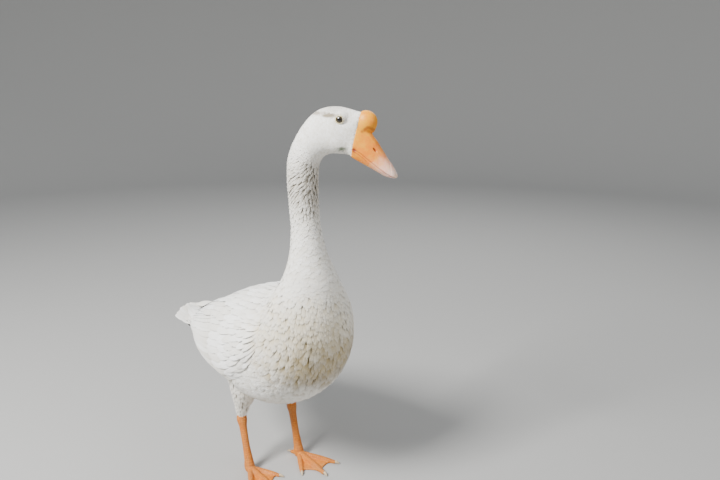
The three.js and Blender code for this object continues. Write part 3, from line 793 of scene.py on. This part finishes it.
def vane(petals, spread, blunt, ridge, lean):
    """A soft vane as closed petals side by side: places (across, along, up), normals and faces."""
    places, ways, faces = [], [], []
    shares = np.linspace(0, 1, SHAFT_STEPS + 1)
    for petal in range(petals):
        side = (2 * petal + 1) / petals - 1
        reach = 1 - PETAL_SHORTER * side * side - rng.uniform(0, PETAL_SHORTER)
        bent = rng.normal(0, PETAL_STRAY)
        sag = -PETAL_SAG * side * side
        faces.append(sheath(3, SHAFT_STEPS - 1) + len(places))
        for share in shares[1:-1]:
            middle = side * (PETAL_ROOTS + (spread - PETAL_ROOTS) * smooth_step(share)) + bent * share
            past = max(0.0, (share - 1 + blunt) / blunt)
            half = 1.5 / petals * (0.45 + 0.55 * smooth_step(share, 0, 0.35)) * math.sqrt(1 - past**2)
            section = ((-half, 0), (0, ridge * half), (half, 0))
            places += [(middle + across, reach * share, sag + up) for across, up in section]
            ways += [(-lean, 0, 1), (0, 0, 1), (lean, 0, 1)]
        places += [(side * PETAL_ROOTS, 0, sag), (side * spread + bent, reach, sag)]
        ways += [(0, 0, 1), (0, 0.3, 0.95)]
    return np.array(places), np.array(ways), np.concatenate(faces)


def stop_at(points):
    """How far along the lie each point is, counted in the places of the table; a leg's come after."""
    return STOPS[((points[:, None] - PLACES[None]) ** 2).sum(-1).argmin(1)]


def unwrapped(roots):
    """Where each root lies on the unwrapped skin, as shares: round the body, and along it."""
    hold = hold_at(roots)
    offset = roots - hold @ PLACES
    way = unit(hold @ WAYS)
    left = unit(np.cross([0.3, 0, 1.0], way))
    round_body = np.arctan2((offset * left).sum(1), (offset * np.cross(way, left)).sum(1))
    flat = np.stack([round_body, hold @ STOPS], 1)
    flat = (flat - flat.min(0)) / np.maximum(np.ptp(flat, axis=0), 1e-9)
    return PATCH + (1 - 2 * PATCH) * flat


def lay_feathers(surface, roots, petals, spread, blunt, ridge, lean):
    """Soft feathers rooted here and laid along the surface, in batches of like shape."""
    length, width, depth, lift = coat_at(roots)[1][:, 1:].T
    size = rng.uniform(1 - SIZE_STRAY, 1 + SIZE_STRAY, len(roots))
    length = length * room_at_eye(roots)
    path, onward, up, sideways = shafts(surface, roots, length * size)
    flat = unwrapped(roots)
    tone = rng.random(len(roots))
    kinds = rng.integers(0, VANE_KINDS, len(roots))
    for kind in range(VANE_KINDS):
        template, ways, triangles = vane(petals, spread, blunt, ridge, lean)
        mine = kinds == kind
        number = mine.sum()
        across, share, rise = template.T
        low = np.minimum((share * SHAFT_STEPS).astype(int), SHAFT_STEPS - 1)
        part = (share * SHAFT_STEPS - low)[None, :, None]
        at = path[mine][:, low] * (1 - part) + path[mine][:, low + 1] * part
        out = unit(up[mine][:, low] * (1 - part) + up[mine][:, low + 1] * part)
        side = unit(sideways[mine][:, low] * (1 - part) + sideways[mine][:, low + 1] * part)
        half = (width * size)[mine][:, None] / 2
        stray = rng.normal(0, PETAL_STRAY, (number, 1))
        climb = depth[mine][:, None] * (1 - (1 - share) ** 2 + stray * share)
        climb = climb + lift[mine][:, None] * TIP_LIFT * share**3
        spot = at + side * (across * half)[..., None] + out * (climb + rise * half)[..., None]
        shade = side * ways[:, :1] + onward[mine][:, low] * ways[:, 1:2] + out * ways[:, 2:]
        lengths = (length * size)[mine][:, None] * share
        attributes = {
            "along": np.tile(share, number),
            "tone": np.repeat(tone[mine], len(template)),
            "barb": (lengths - BARB_SLANT * np.abs(across) * half).ravel(),
        }
        patch = PATCH * np.stack([across / 2, share - 0.5], -1)
        yield (
            spot.reshape(-1, 3),
            copies(triangles, len(template), number),
            unit(shade).reshape(-1, 3),
            attributes,
            (flat[mine][:, None] + patch).reshape(-1, 2),
        )


def feathered(points):
    """Where feathers are rooted: not round the eyes, nor on the bill and knob."""
    straight = straightened(points)
    off_eye = np.hypot(straight[:, 0] - EYE_AT[0], straight[:, 2] - EYE_AT[1]) > EYE_CLEAR
    (low, low_forward), (high, high_forward) = BILL_EDGE
    edge = low_forward + (straight[:, 2] - low) * (high_forward - low_forward) / (high - low)
    behind_bill = straight[:, 0] < np.maximum(edge, low_forward)
    on_head = straight[:, 2] > HEAD_FEATHERS_FROM
    on_tail = points[:, 0] < TAIL_FROM
    return (~on_head | (off_eye & behind_bill)) & ~on_tail


def under_wing(points):
    """Which points on the skin have a wing's feathers close above them."""
    ways = on_skin.nearest(points)[1]
    trees = [Surface(bpy.data.objects[f"wing_{hand}_feathers"].data).tree for hand in ("left", "right")]
    rays = [(Vector(point), Vector(way)) for point, way in zip(points.tolist(), ways.tolist())]
    covered = np.array([any(tree.ray_cast(*ray, WING_COVER)[0] for tree in trees) for ray in rays])
    return covered & (points[:, 0] > RUMP_FROM)


COAT = {
    # piece: where it starts and ends along the lie, petals, spread, bluntness, ridge, lean of the shading
    "feathers_of_head":        (0.0, 2.7, 2, 1.0, 0.6, 0.22, 0.12),
    "feathers_of_throat":      (2.7, 5.0, 3, 0.55, 0.8, 0.80, 0.50),
    "feathers_of_neck":        (5.0, 7.4, 1, 1.0, 0.8, 0.07, 0.08),
    "feathers_of_breast":      (7.4, 10.5, 4, 0.75, 0.75, 0.50, 0.45),
    "feathers_of_body":        (10.5, 17.5, 4, 1.0, 0.4, 0.30, 0.30),
    "feathers_of_left_thigh":  (17.5, 22.0, 3, 0.9, 0.6, 0.40, 0.40),
    "feathers_of_right_thigh": (22.0, 27.0, 3, 0.9, 0.6, 0.40, 0.40),
}
roots = scatter(on_skin, feathered)
roots = roots[~under_wing(roots)]
stop = stop_at(roots)
for name, (start, end, *shape) in COAT.items():
    mine = roots[(stop >= start) & (stop < end)]
    joined_feathers(name, list(lay_feathers(on_skin, mine, *shape)))

# ---- Bill and knob ------------------------------------------------------------------------------------
# Soft orange horn over bone, in one with the knob on the forehead: waxy, paler and pink towards the nail,
# with slit nostrils, a mouth line that ends in a dark red corner, and folds of skin below the corner.
DOWN_BILL = np.array([0.64, -0.77])  # forward and up, as the lines below are, with the head straight
OUT_OF_BILL = np.array([0.77, 0.64])
BILL_TOP = (258, 640)
MOUTH = np.array([
    (249, 614.5), (256, 611.8), (264, 606.8), (270, 601.6), (277, 596),
    (285, 589.6), (293, 583.4), (301, 577.6), (314, 570),
])
FOLD = np.array([(251, 610.5), (258, 607), (265, 601.5), (271, 596.6)])
CORNER = MOUTH[0] + [2.2, -1.2]
LIP = MOUTH + [0.9, 1.9]
LIP_FROM = 262
LIP_RIDGES = 2.9  # the spacing of the small ridges across the lip
NOSTRIL = (283, 613.8)
NOSTRIL_SIZE = (5.2, 1.7)  # half its length and height
CREASE = np.array([(263, 641), (267, 644.6), (271.5, 647.4), (275, 646.6), (278, 644.5)])
SADDLE = np.array([277, 0, 641])
NAIL_FROM, NAIL_ROUND, NAIL_ABOVE = 64, 0.12, 576
BILL_LONG = 90
HORN_VOXEL = 0.85 * MM
HORN_SWELL = 0.6 * MM
HORN_SMOOTHED = 22
HORN_FROM = -3.5  # where the horn ends, from the line where the bill starts
HORN_BANDS = (  # share of the way down the bill, colour
    (0.0, "#eb9c00"), (0.16, "#e58f00"), (0.36, "#e28000"),
    (0.52, "#e69038"), (0.70, "#efb698"), (0.92, "#eed0c2"),
)
PORE = 1.4 * MM  # the wrinkled skin of the bill, about a millimetre and a half between creases

horn_mesh = joined_solids("bill", ["head", *HORN_PARTS], HORN_VOXEL, HORN_SWELL)
cut_point, ahead = bill_plane(HORN_FROM)
cut_away(horn_mesh, cut_point, -ahead)
bill_points = smooth_points(horn_mesh, coordinates(horn_mesh), HORN_SMOOTHED)
straight = straightened(bill_points)
profile = straight[:, [0, 2]]
down_bill = (profile - BILL_TOP) @ DOWN_BILL
from_nail = down_bill - NAIL_FROM - NAIL_ROUND * straight[:, 1] ** 2
along_nostril = (profile - NOSTRIL) @ DOWN_BILL / NOSTRIL_SIZE[0]
across_nostril = (profile - NOSTRIL) @ OUT_OF_BILL / NOSTRIL_SIZE[1]
nostril = smooth_step(1 - np.hypot(along_nostril, across_nostril), 0.0, 0.5)
mouth = line_mark(profile, MOUTH, 0.75)
fold = line_mark(profile, FOLD, 0.7)
corner = np.exp(-(((profile - CORNER) ** 2).sum(1) / 3.4**2))
lip = line_mark(profile, LIP, 1.1) * (profile[:, 0] > LIP_FROM)
forms = (  # how far each form stands out, and its share at each point
    (-2.0, nostril),
    (-0.9, mouth),
    (-0.45, fold),
    (-0.6, corner),
    # the groove behind the nail, then the nail
    (-0.35, np.exp(-((from_nail / 0.8) ** 2)) * (straight[:, 2] > NAIL_ABOVE)),
    (0.25, smooth_step(from_nail, 0, 2)),
    # the saddle that fills the notch below the knob, and the ridged lip
    (2.2, np.exp(-((straight - SADDLE) ** 2).sum(1) / 5.0**2)),
    (0.35 + 0.22 * np.sin(2 * math.pi * down_bill / LIP_RIDGES), lip),
    # the horn's hind edge, tucked in under the feathers
    (-3.4, 1 - smooth_step((bill_points - bill_plane(0.0)[0]) @ ahead / MM, -3.0, 0.5)),
)
push = sum(out * share for out, share in forms)
move_points(horn_mesh, bill_points)
outward = normals(horn_mesh)
move_points(horn_mesh, smooth_points(horn_mesh, bill_points + outward * (push * MM)[:, None], 1))
horn_mesh.shade_smooth()
give(horn_mesh, "down_bill", down_bill / BILL_LONG)
# The dark mark is partly the gape's own dark red at the corner, and partly painted shade in the nostril slit,
# along the mouth line and in the folds below the corner.
give(horn_mesh, "dark", np.clip(0.9 * nostril + 0.55 * mouth + 0.5 * fold + corner, 0, 1))
# Painted shade: the crease between the knob and the bill, darkened where shade falls in it.
give(horn_mesh, "crease", line_mark(profile, CREASE, 2.8) * smooth_step(down_bill, -12, 2))

# Living, waxy skin: a broad satin shine, a little light from inside, and an orange that is never even.
horn, tree, shader = new_finish(
    "goose bill, waxy orange skin over horn",
    {
        "Roughness": 0.46,
        "Specular IOR Level": 0.35,
        "Subsurface Weight": 0.12,
        "Subsurface Radius": (0.004, 0.0015, 0.0008),
        "Subsurface Scale": 1.0,
    },
)
place = add_node(tree, "ShaderNodeTexCoord", output="Object")
reach = add_node(tree, "ShaderNodeAttribute", output="Fac", attribute_name="down_bill")
dark = add_node(tree, "ShaderNodeAttribute", output="Fac", attribute_name="dark")
in_crease = add_node(tree, "ShaderNodeAttribute", output="Fac", attribute_name="crease")
mottle = add_node(
    tree, "ShaderNodeTexNoise", {"Vector": place, "Scale": 1 / (9 * MM), "Detail": 4.0}, "Fac"
)
shift = add_node(tree, "ShaderNodeMath", {0: mottle, 1: 0.24, 2: -0.12}, operation="MULTIPLY_ADD")
shifted = add_node(tree, "ShaderNodeMath", {0: reach, 1: shift}, operation="ADD")
banded = add_node(tree, "ShaderNodeValToRGB", {"Fac": shifted}, "Color")
bands = banded.node.color_ramp.elements
while len(bands) < len(HORN_BANDS):
    bands.new(0.5)
for band, (share, code) in zip(bands, HORN_BANDS):
    band.position = share
    band.color = colour(code)
# Painted shade: the crease below the knob is browned.
shaded = add_node(
    tree,
    "ShaderNodeMapRange",
    {0: in_crease, 1: 0.1, 2: 1.0, 3: 0.0, 4: 0.7},
    interpolation_type="SMOOTHSTEP",
)
crease_shaded = add_node(
    tree, "ShaderNodeMix", {0: shaded, 6: banded, 7: colour("#a04e08")}, 2, data_type="RGBA"
)
streaks = add_node(
    tree,
    "ShaderNodeTexNoise",
    {"Vector": place, "Scale": 1 / (8 * MM), "Detail": 3.0, "Distortion": 0.2},
    "Fac",
)
redder = add_node(tree, "ShaderNodeMapRange", {0: streaks, 1: 0.50, 2: 0.72, 3: 0.0, 4: 0.35})
reddened = add_node(
    tree, "ShaderNodeMix", {0: redder, 6: crease_shaded, 7: colour("#db5f18")}, 2, data_type="RGBA"
)
yellower = add_node(tree, "ShaderNodeMapRange", {0: streaks, 1: 0.48, 2: 0.30, 3: 0.0, 4: 0.35})
yellowed = add_node(
    tree, "ShaderNodeMix", {0: yellower, 6: reddened, 7: colour("#eab02c")}, 2, data_type="RGBA"
)
# Darkened by the dark mark: the red corner of the gape, and painted shade in the nostril, the mouth line and
# the folds.
tinted = add_node(
    tree, "ShaderNodeMix", {0: dark, 6: yellowed, 7: colour("#7a2210")}, 2, data_type="RGBA"
)
tree.links.new(tinted, shader.inputs["Base Color"])
pores = add_node(tree, "ShaderNodeTexVoronoi", {"Vector": place, "Scale": 1 / PORE}, "Distance")
creases = add_node(
    tree, "ShaderNodeTexNoise", {"Vector": place, "Scale": 1 / (4 * MM), "Detail": 3.0}, "Fac"
)
relief = add_node(tree, "ShaderNodeMath", {0: creases, 1: 2.5, 2: pores}, operation="MULTIPLY_ADD")
bump = add_node(tree, "ShaderNodeBump", {"Height": relief, "Strength": 0.35, "Distance": 0.15 * MM})
tree.links.new(bump, shader.inputs["Normal"])
bill = to_piece("bill", horn_mesh, horn)
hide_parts(*HORN_PARTS)
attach(bill, "root")

# ---- Eyes and lids ------------------------------------------------------------------------------------
# Wet brown eyes with a round pupil, held in bare, pale, wrinkled lids with a dark rim; the lower lid is
# loose and folded.
EYE_RADIUS = 8.4
CORNEA, CORNEA_WIDE = 0.35, 0.62  # how far the front bulges, and over how wide an angle
EYE_TURNS, EYE_RINGS = 48, 24
PUPIL, IRIS = 0.30, 0.74  # radians from the middle of the eye
LID_TURNS = 64
LID = (
    # from the inner edge outwards: radius, how far out from the eye's centre and how far over the skin,
    # share of the oval opening, of the loose fold and of the wrinkles
    (4.9, 6.2, 9, 1, 0, 0),
    (4.95, 6.95, 9, 0.875, 0, 0),
    (5.25, 7.25, 9, 0.75, 0, 0),
    (5.6, 7.2, 2.0, 0.625, 0, 1),
    (6.0, 7.0, 1.3, 0.5, -0.5, 1),
    (6.5, 6.7, 0.8, 0.375, 1, 1),
    (7.1, 6.2, 0.3, 0.25, 1, 1),
    (7.9, 5.4, -0.2, 0.125, 0, 1),
    (8.8, 4.0, -1.2, 1, 0, 0),
    (8.8, 1.0, -3.0, 1, 0, 0),
    (4.6, 3.0, 9, 1, 0, 0),
)
LID_LONGER, LID_LOWER = 0.06, -0.06
LOOSE_FOLD = 0.55
FINE_WRINKLES = ((0.10, 9, 1.0), (0.07, 17, 2.1))  # depth, number round the lid, turn from ring to ring
LID_RIM, LID_RIM_WIDE = 1.4, 1.3  # which ring the dark rim is on, and how many rings it covers
CAST_FROM = 30  # how far out from the eye the skin is looked for


def at_eye(local, side):
    """Points (forward, up, out) about an eye, in millimetres, placed on the turned head in metres."""
    forward = EYE_AT[0] + local[..., 0]
    straight = np.stack([forward, side * (EYE_APART + local[..., 2]), EYE_AT[1] + local[..., 1]], -1)
    return turned(straight, 1.0) * MM


def closed_mesh(name, points, faces):
    """A smooth closed mesh whose faces point outwards."""
    mesh = bpy.data.meshes.new(name)
    mesh.from_pydata(points.tolist(), [], faces)
    shell = bmesh.new()
    shell.from_mesh(mesh)
    bmesh.ops.recalc_face_normals(shell, faces=shell.faces)
    shell.to_mesh(mesh)
    shell.free()
    mesh.shade_smooth()
    return mesh


def ball_mesh(name, side):
    """An eyeball with a bulging front, and each point's angle from the middle of the pupil."""
    turns = np.arange(EYE_TURNS) * 2 * math.pi / EYE_TURNS
    from_pole = np.pi * np.arange(1, EYE_RINGS) / EYE_RINGS
    bulge = (EYE_RADIUS + CORNEA * np.exp(-((from_pole / CORNEA_WIDE) ** 2)))[:, None]
    forward, up = np.sin(from_pole)[:, None] * np.stack([np.cos(turns), np.sin(turns)])[:, None] * bulge
    out = np.cos(from_pole)[:, None] * bulge + 0 * up
    poles = [[0, 0, EYE_RADIUS + CORNEA], [0, 0, -EYE_RADIUS]]
    local = np.concatenate([np.stack([forward, up, out], -1).reshape(-1, 3), poles])
    mesh = closed_mesh(name, at_eye(local, side), sheath(EYE_TURNS, EYE_RINGS - 1).tolist())
    give(mesh, "from_pole", np.concatenate([np.repeat(from_pole, EYE_TURNS), [0, math.pi]]))
    return mesh


def lid_mesh(name, side):
    """Both lids as one ring round the eye, let down onto the skin, with a loose fold below."""
    turn = np.arange(LID_TURNS) * 2 * math.pi / LID_TURNS
    below = smooth_step(-np.sin(turn), 0.1, 0.9)
    inward = -(turned(np.array([NECK_AXIS, side, 0.0]), 1.0) - [NECK_AXIS, 0, 0])
    rings = []
    for number, (radius, profile_out, over_skin, oval, folded, wrinkled) in enumerate(LID):
        wrinkle = sum(deep * np.sin(times * turn + shift * number) for deep, times, shift in FINE_WRINKLES)
        radius = radius + 0.5 * wrinkle * (number > 1)
        forward = radius * (1 + LID_LONGER * oval) * np.cos(turn)
        up = radius * (1 + LID_LOWER * oval) * np.sin(turn)
        ring = np.stack([forward, up, np.full(LID_TURNS, float(CAST_FROM))], -1)
        from_outside = at_eye(ring, side)
        met = on_skin.cast(from_outside, np.broadcast_to(inward, ring.shape))[0]
        skin_out = CAST_FROM - np.linalg.norm(met - from_outside, axis=1) / MM
        for _ in range(4):
            skin_out = (np.roll(skin_out, 1) + 2 * skin_out + np.roll(skin_out, -1)) / 4
        out = np.minimum(profile_out, skin_out + over_skin)
        ring[:, 2] = out + LOOSE_FOLD * folded * below + wrinkled * wrinkle
        rings.append(ring)
    faces = []
    for number in range(len(LID)):
        near, far = LID_TURNS * number, LID_TURNS * ((number + 1) % len(LID))
        for i in range(LID_TURNS):
            j = (i + 1) % LID_TURNS
            faces.append((near + i, far + i, far + j, near + j))
    mesh = closed_mesh(name, at_eye(np.concatenate(rings), side), faces)
    rim = np.exp(-(((np.arange(len(LID)) - LID_RIM) / LID_RIM_WIDE) ** 2))
    give(mesh, "rim", np.repeat(rim, LID_TURNS))
    return evaluated(name, mesh, [("SUBSURF", {"levels": 1, "render_levels": 1})])


# A wet cornea: one small, sharp highlight over an iris so dark that the pupil hardly shows.
eye_finish, tree, shader = new_finish(
    "goose eye, wet cornea over a brown iris",
    {"Roughness": 0.25, "Coat Weight": 0.8, "Coat Roughness": 0.03, "Coat IOR": 1.38},
)
place = add_node(tree, "ShaderNodeTexCoord", output="Object")
from_pole = add_node(tree, "ShaderNodeAttribute", output="Fac", attribute_name="from_pole")
fibres = add_node(
    tree, "ShaderNodeTexNoise", {"Vector": place, "Scale": 1 / (1.2 * MM), "Detail": 3.0}, "Fac"
)
iris = add_node(
    tree, "ShaderNodeMix", {0: fibres, 6: colour("#1d160a"), 7: colour("#43361a")}, 2, data_type="RGBA"
)
in_pupil = add_node(tree, "ShaderNodeMapRange", {0: from_pole, 1: PUPIL, 2: PUPIL + 0.05, 3: 1.0, 4: 0.0})
past_iris = add_node(tree, "ShaderNodeMapRange", {0: from_pole, 1: IRIS, 2: IRIS + 0.06, 3: 0.0, 4: 1.0})
ringed = add_node(
    tree, "ShaderNodeMix", {0: past_iris, 6: iris, 7: colour("#2a2018")}, 2, data_type="RGBA"
)
seen = add_node(
    tree, "ShaderNodeMix", {0: in_pupil, 6: ringed, 7: colour("#050505")}, 2, data_type="RGBA"
)
tree.links.new(seen, shader.inputs["Base Color"])

# Dry bare skin: dull, pale and finely wrinkled, and dark along the rim where it meets the eye.
lid_finish, tree, shader = new_finish("eyelid, bare wrinkled skin", {"Roughness": 0.55})
place = add_node(tree, "ShaderNodeTexCoord", output="Object")
rim = add_node(tree, "ShaderNodeAttribute", output="Fac", attribute_name="rim")
flesh = add_node(
    tree, "ShaderNodeMix", {0: rim, 6: colour("#d0c39a"), 7: colour("#4d4329")}, 2, data_type="RGBA"
)
tree.links.new(flesh, shader.inputs["Base Color"])
wrinkles = add_node(
    tree, "ShaderNodeTexNoise", {"Vector": place, "Scale": 1 / (1.1 * MM), "Detail": 2.0}, "Fac"
)
bump = add_node(tree, "ShaderNodeBump", {"Height": wrinkles, "Strength": 0.5, "Distance": 0.2 * MM})
tree.links.new(bump, shader.inputs["Normal"])
for side, hand in ((1, "left"), (-1, "right")):
    eye = to_piece(f"eyeball_{hand}", ball_mesh(f"eyeball_{hand}", side), eye_finish)
    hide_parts(f"eye_{hand}")
    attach(eye, "root")
    lid = to_piece(f"eyelids_{hand}", lid_mesh(f"eyelids_{hand}", side))
    lid.data.materials.clear()
    lid.data.materials.append(lid_finish)
    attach(lid, "root")

# ---- Legs, feet and claws -----------------------------------------------------------------------------
# Bare orange legs: leathery skin in small scales, with cross plates down the front and along each toe, webs
# between the front toes, and short blunt claws.
LEG_MAKING = (1.2 * MM, 0.5 * MM, 4)  # voxel, swell and times smoothed
CLAW_MAKING = (0.6 * MM, 0.3 * MM, 3)
SCALE = 2.8 * MM  # real ones are about 2 mm across; drawn coarser so that they show
PLATE = 4.2 * MM  # the spacing of the cross plates
PLATES_ABOVE, PLATES_FULL = 4.0, 6.0  # heights; the soles have none

# Tough skin: a satin shine broken by the grooves between scales and plates, with yard dirt rubbed in.
leg_finish, tree, shader = new_finish("goose leg, leathery orange scales", {"Roughness": 0.5})
place = add_node(tree, "ShaderNodeTexCoord", output="Object")
scale_sizes = {"Vector": place, "Scale": 1 / SCALE, "Randomness": 0.8}
from_edge = add_node(tree, "ShaderNodeTexVoronoi", scale_sizes, "Distance", feature="DISTANCE_TO_EDGE")
cell = add_node(tree, "ShaderNodeTexVoronoi", scale_sizes, "Color")
cell_tone = add_node(tree, "ShaderNodeSeparateColor", {0: cell})
scale_colour = add_node(
    tree, "ShaderNodeMix", {0: cell_tone, 6: colour("#dd861a"), 7: colour("#c96c10")}, 2, data_type="RGBA"
)
grime = add_node(
    tree, "ShaderNodeTexNoise", {"Vector": place, "Scale": 1 / (20 * MM), "Detail": 3.0}, "Fac"
)
dirty = add_node(tree, "ShaderNodeMapRange", {0: grime, 1: 0.45, 2: 0.75, 3: 0.0, 4: 0.45})
worn = add_node(
    tree, "ShaderNodeMix", {0: dirty, 6: scale_colour, 7: colour("#a98556")}, 2, data_type="RGBA"
)
groove = add_node(tree, "ShaderNodeMapRange", {0: from_edge, 1: 0.0, 2: 0.10, 3: 0.5, 4: 0.0})
lined = add_node(
    tree, "ShaderNodeMix", {0: groove, 6: worn, 7: colour("#8e4f22")}, 2, data_type="RGBA"
)
plate_at = add_node(tree, "ShaderNodeAttribute", output="Fac", attribute_name="plate_at")
plated = add_node(tree, "ShaderNodeAttribute", output="Fac", attribute_name="plated")
turns = add_node(tree, "ShaderNodeMath", {0: plate_at, 1: 2 * math.pi / PLATE}, operation="MULTIPLY")
wave = add_node(tree, "ShaderNodeMath", {0: turns}, operation="SINE")
between = add_node(tree, "ShaderNodeMapRange", {0: wave, 1: -0.55, 2: -0.95, 3: 0.0, 4: 1.0})
cut = add_node(tree, "ShaderNodeMath", {0: between, 1: plated}, operation="MULTIPLY")
half_cut = add_node(tree, "ShaderNodeMath", {0: cut, 1: 0.5}, operation="MULTIPLY")
leg_colour = add_node(
    tree, "ShaderNodeMix", {0: half_cut, 6: lined, 7: colour("#8e4f22")}, 2, data_type="RGBA"
)
tree.links.new(leg_colour, shader.inputs["Base Color"])
rounded = add_node(
    tree,
    "ShaderNodeMapRange",
    {0: from_edge, 1: 0.0, 2: 0.25, 3: 0.0, 4: 1.0},
    interpolation_type="SMOOTHSTEP",
)
relief = add_node(tree, "ShaderNodeMath", {0: rounded, 1: cut}, operation="SUBTRACT")
bump = add_node(tree, "ShaderNodeBump", {"Height": relief, "Strength": 0.9, "Distance": 0.5 * MM})
tree.links.new(bump, shader.inputs["Normal"])

# Worn horn: pale, satin and faintly streaked.
claw_finish, tree, shader = new_finish("claw, grown horn", {"Roughness": 0.4})
place = add_node(tree, "ShaderNodeTexCoord", output="Object")
grain = add_node(
    tree, "ShaderNodeTexNoise", {"Vector": place, "Scale": 1 / (3 * MM), "Detail": 3.0}, "Fac"
)
claw_colour = add_node(
    tree, "ShaderNodeMix", {0: grain, 6: colour("#d9c6a4"), 7: colour("#9c8464")}, 2, data_type="RGBA"
)
tree.links.new(claw_colour, shader.inputs["Base Color"])


def bare_part(name, nodes, material, slot, voxel, swell, smoothed):
    """A bare piece of a leg made from its solids, with its soles on the floor."""
    mesh = joined_solids(name, nodes, voxel, swell)
    points = smooth_points(mesh, coordinates(mesh), smoothed)
    points[:, 2] = np.maximum(points[:, 2], 0)
    move_points(mesh, points)
    mesh.shade_smooth()
    piece = to_piece(name, mesh, material)
    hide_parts(*nodes)
    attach(piece, "root")
    return mesh


for side, hand in ((1, "left"), (-1, "right")):
    nodes = [f"shank_{hand}", f"foot_{hand}"]
    leg_mesh = bare_part(f"leg_{hand}", nodes, leg_finish, "leg_skin", *LEG_MAKING)
    at, out = coordinates(leg_mesh), normals(leg_mesh)
    from_ball = at - np.array([BALL_OF_FOOT[side], side * HIP_SPREAD, 0]) * MM
    give(leg_mesh, "plate_at", np.linalg.norm(from_ball, axis=1))
    ahead_or_up = smooth_step(np.maximum(out[:, 0], out[:, 2]), 0.1, 0.6)
    give(leg_mesh, "plated", ahead_or_up * smooth_step(at[:, 2] / MM, PLATES_ABOVE, PLATES_FULL))
    claws = [f"claw_{hand}_{toe}" for toe in ("inner", "middle", "outer", "hind")]
    bare_part(f"claws_{hand}", claws, claw_finish, "claw", *CLAW_MAKING)

# ---- Floor and light ----------------------------------------------------------------------------------
# A plain pale floor that curves up behind the bird, and three soft lamps: a large key from the upper left
# of the view, a weak fill from the right and a rim from behind.
FLOOR_FLAT, FLOOR_BEND, FLOOR_TOP = 3.4, 1.4, 2.6  # radius of the flat, of the curve up, and the top's height
FLOOR_TURNS, BEND_STEPS = 96, 12
AIM = Vector((0.05, 0.0, 0.35))
LAMPS = {  # degrees from the camera's bearing, degrees up, distance, size, power
    "key": (-48, 42, 2.4, 0.8, 165),
    "fill": (55, 18, 2.6, 1.8, 20),
    "rim": (160, 40, 2.4, 1.6, 20),
}
SKY_COLOUR, SKY_STRENGTH = "#e6ebf2", 0.7


def floor_piece(material):
    """A disc whose edge curves up into a wall."""
    angles = np.linspace(0, math.pi / 2, BEND_STEPS + 1)
    radii = [*(FLOOR_FLAT + FLOOR_BEND * np.sin(angles)), FLOOR_FLAT + FLOOR_BEND]
    heights = [*(FLOOR_BEND * (1 - np.cos(angles))), FLOOR_TOP]
    turns = 2 * math.pi * np.arange(FLOOR_TURNS) / FLOOR_TURNS
    points = [(r * math.cos(turn), r * math.sin(turn), z) for r, z in zip(radii, heights) for turn in turns]
    faces = []
    for i in range(FLOOR_TURNS):
        j = (i + 1) % FLOOR_TURNS
        faces.append((len(points), i, j))
        for near in range(0, len(points) - FLOOR_TURNS, FLOOR_TURNS):
            far = near + FLOOR_TURNS
            faces.append((far + i, far + j, near + j, near + i))
    mesh = bpy.data.meshes.new("floor")
    mesh.from_pydata([*points, (0, 0, 0)], [], faces)
    mesh.shade_smooth()
    return to_piece("floor", mesh, material)


# Painted board: even, pale and without shine, so that it shows soft shadows.
floor_finish = new_finish("painted floor, matte", {"Base Color": colour("#a3a29f"), "Roughness": 0.9})[0]
floor = floor_piece(floor_finish)

world = bpy.data.worlds.new("studio")
bpy.context.scene.world = world
world.use_nodes = True
sky = world.node_tree.nodes["Background"]
sky.inputs["Color"].default_value = colour(SKY_COLOUR)
sky.inputs["Strength"].default_value = SKY_STRENGTH
for name, (bearing, height, distance, width, power) in LAMPS.items():
    lamp = bpy.data.lights.new(name, "AREA")
    lamp.size = width
    lamp.energy = power
    turn = BEARING + math.radians(bearing)
    rise = math.radians(height)
    away = Vector((math.sin(turn) * math.cos(rise), -math.cos(turn) * math.cos(rise), math.sin(rise)))
    light = bpy.data.objects.new(name, lamp)
    light.location = AIM + distance * away
    light.rotation_euler = (-away).to_track_quat("-Z", "Y").to_euler()
    bpy.context.collection.objects.link(light)
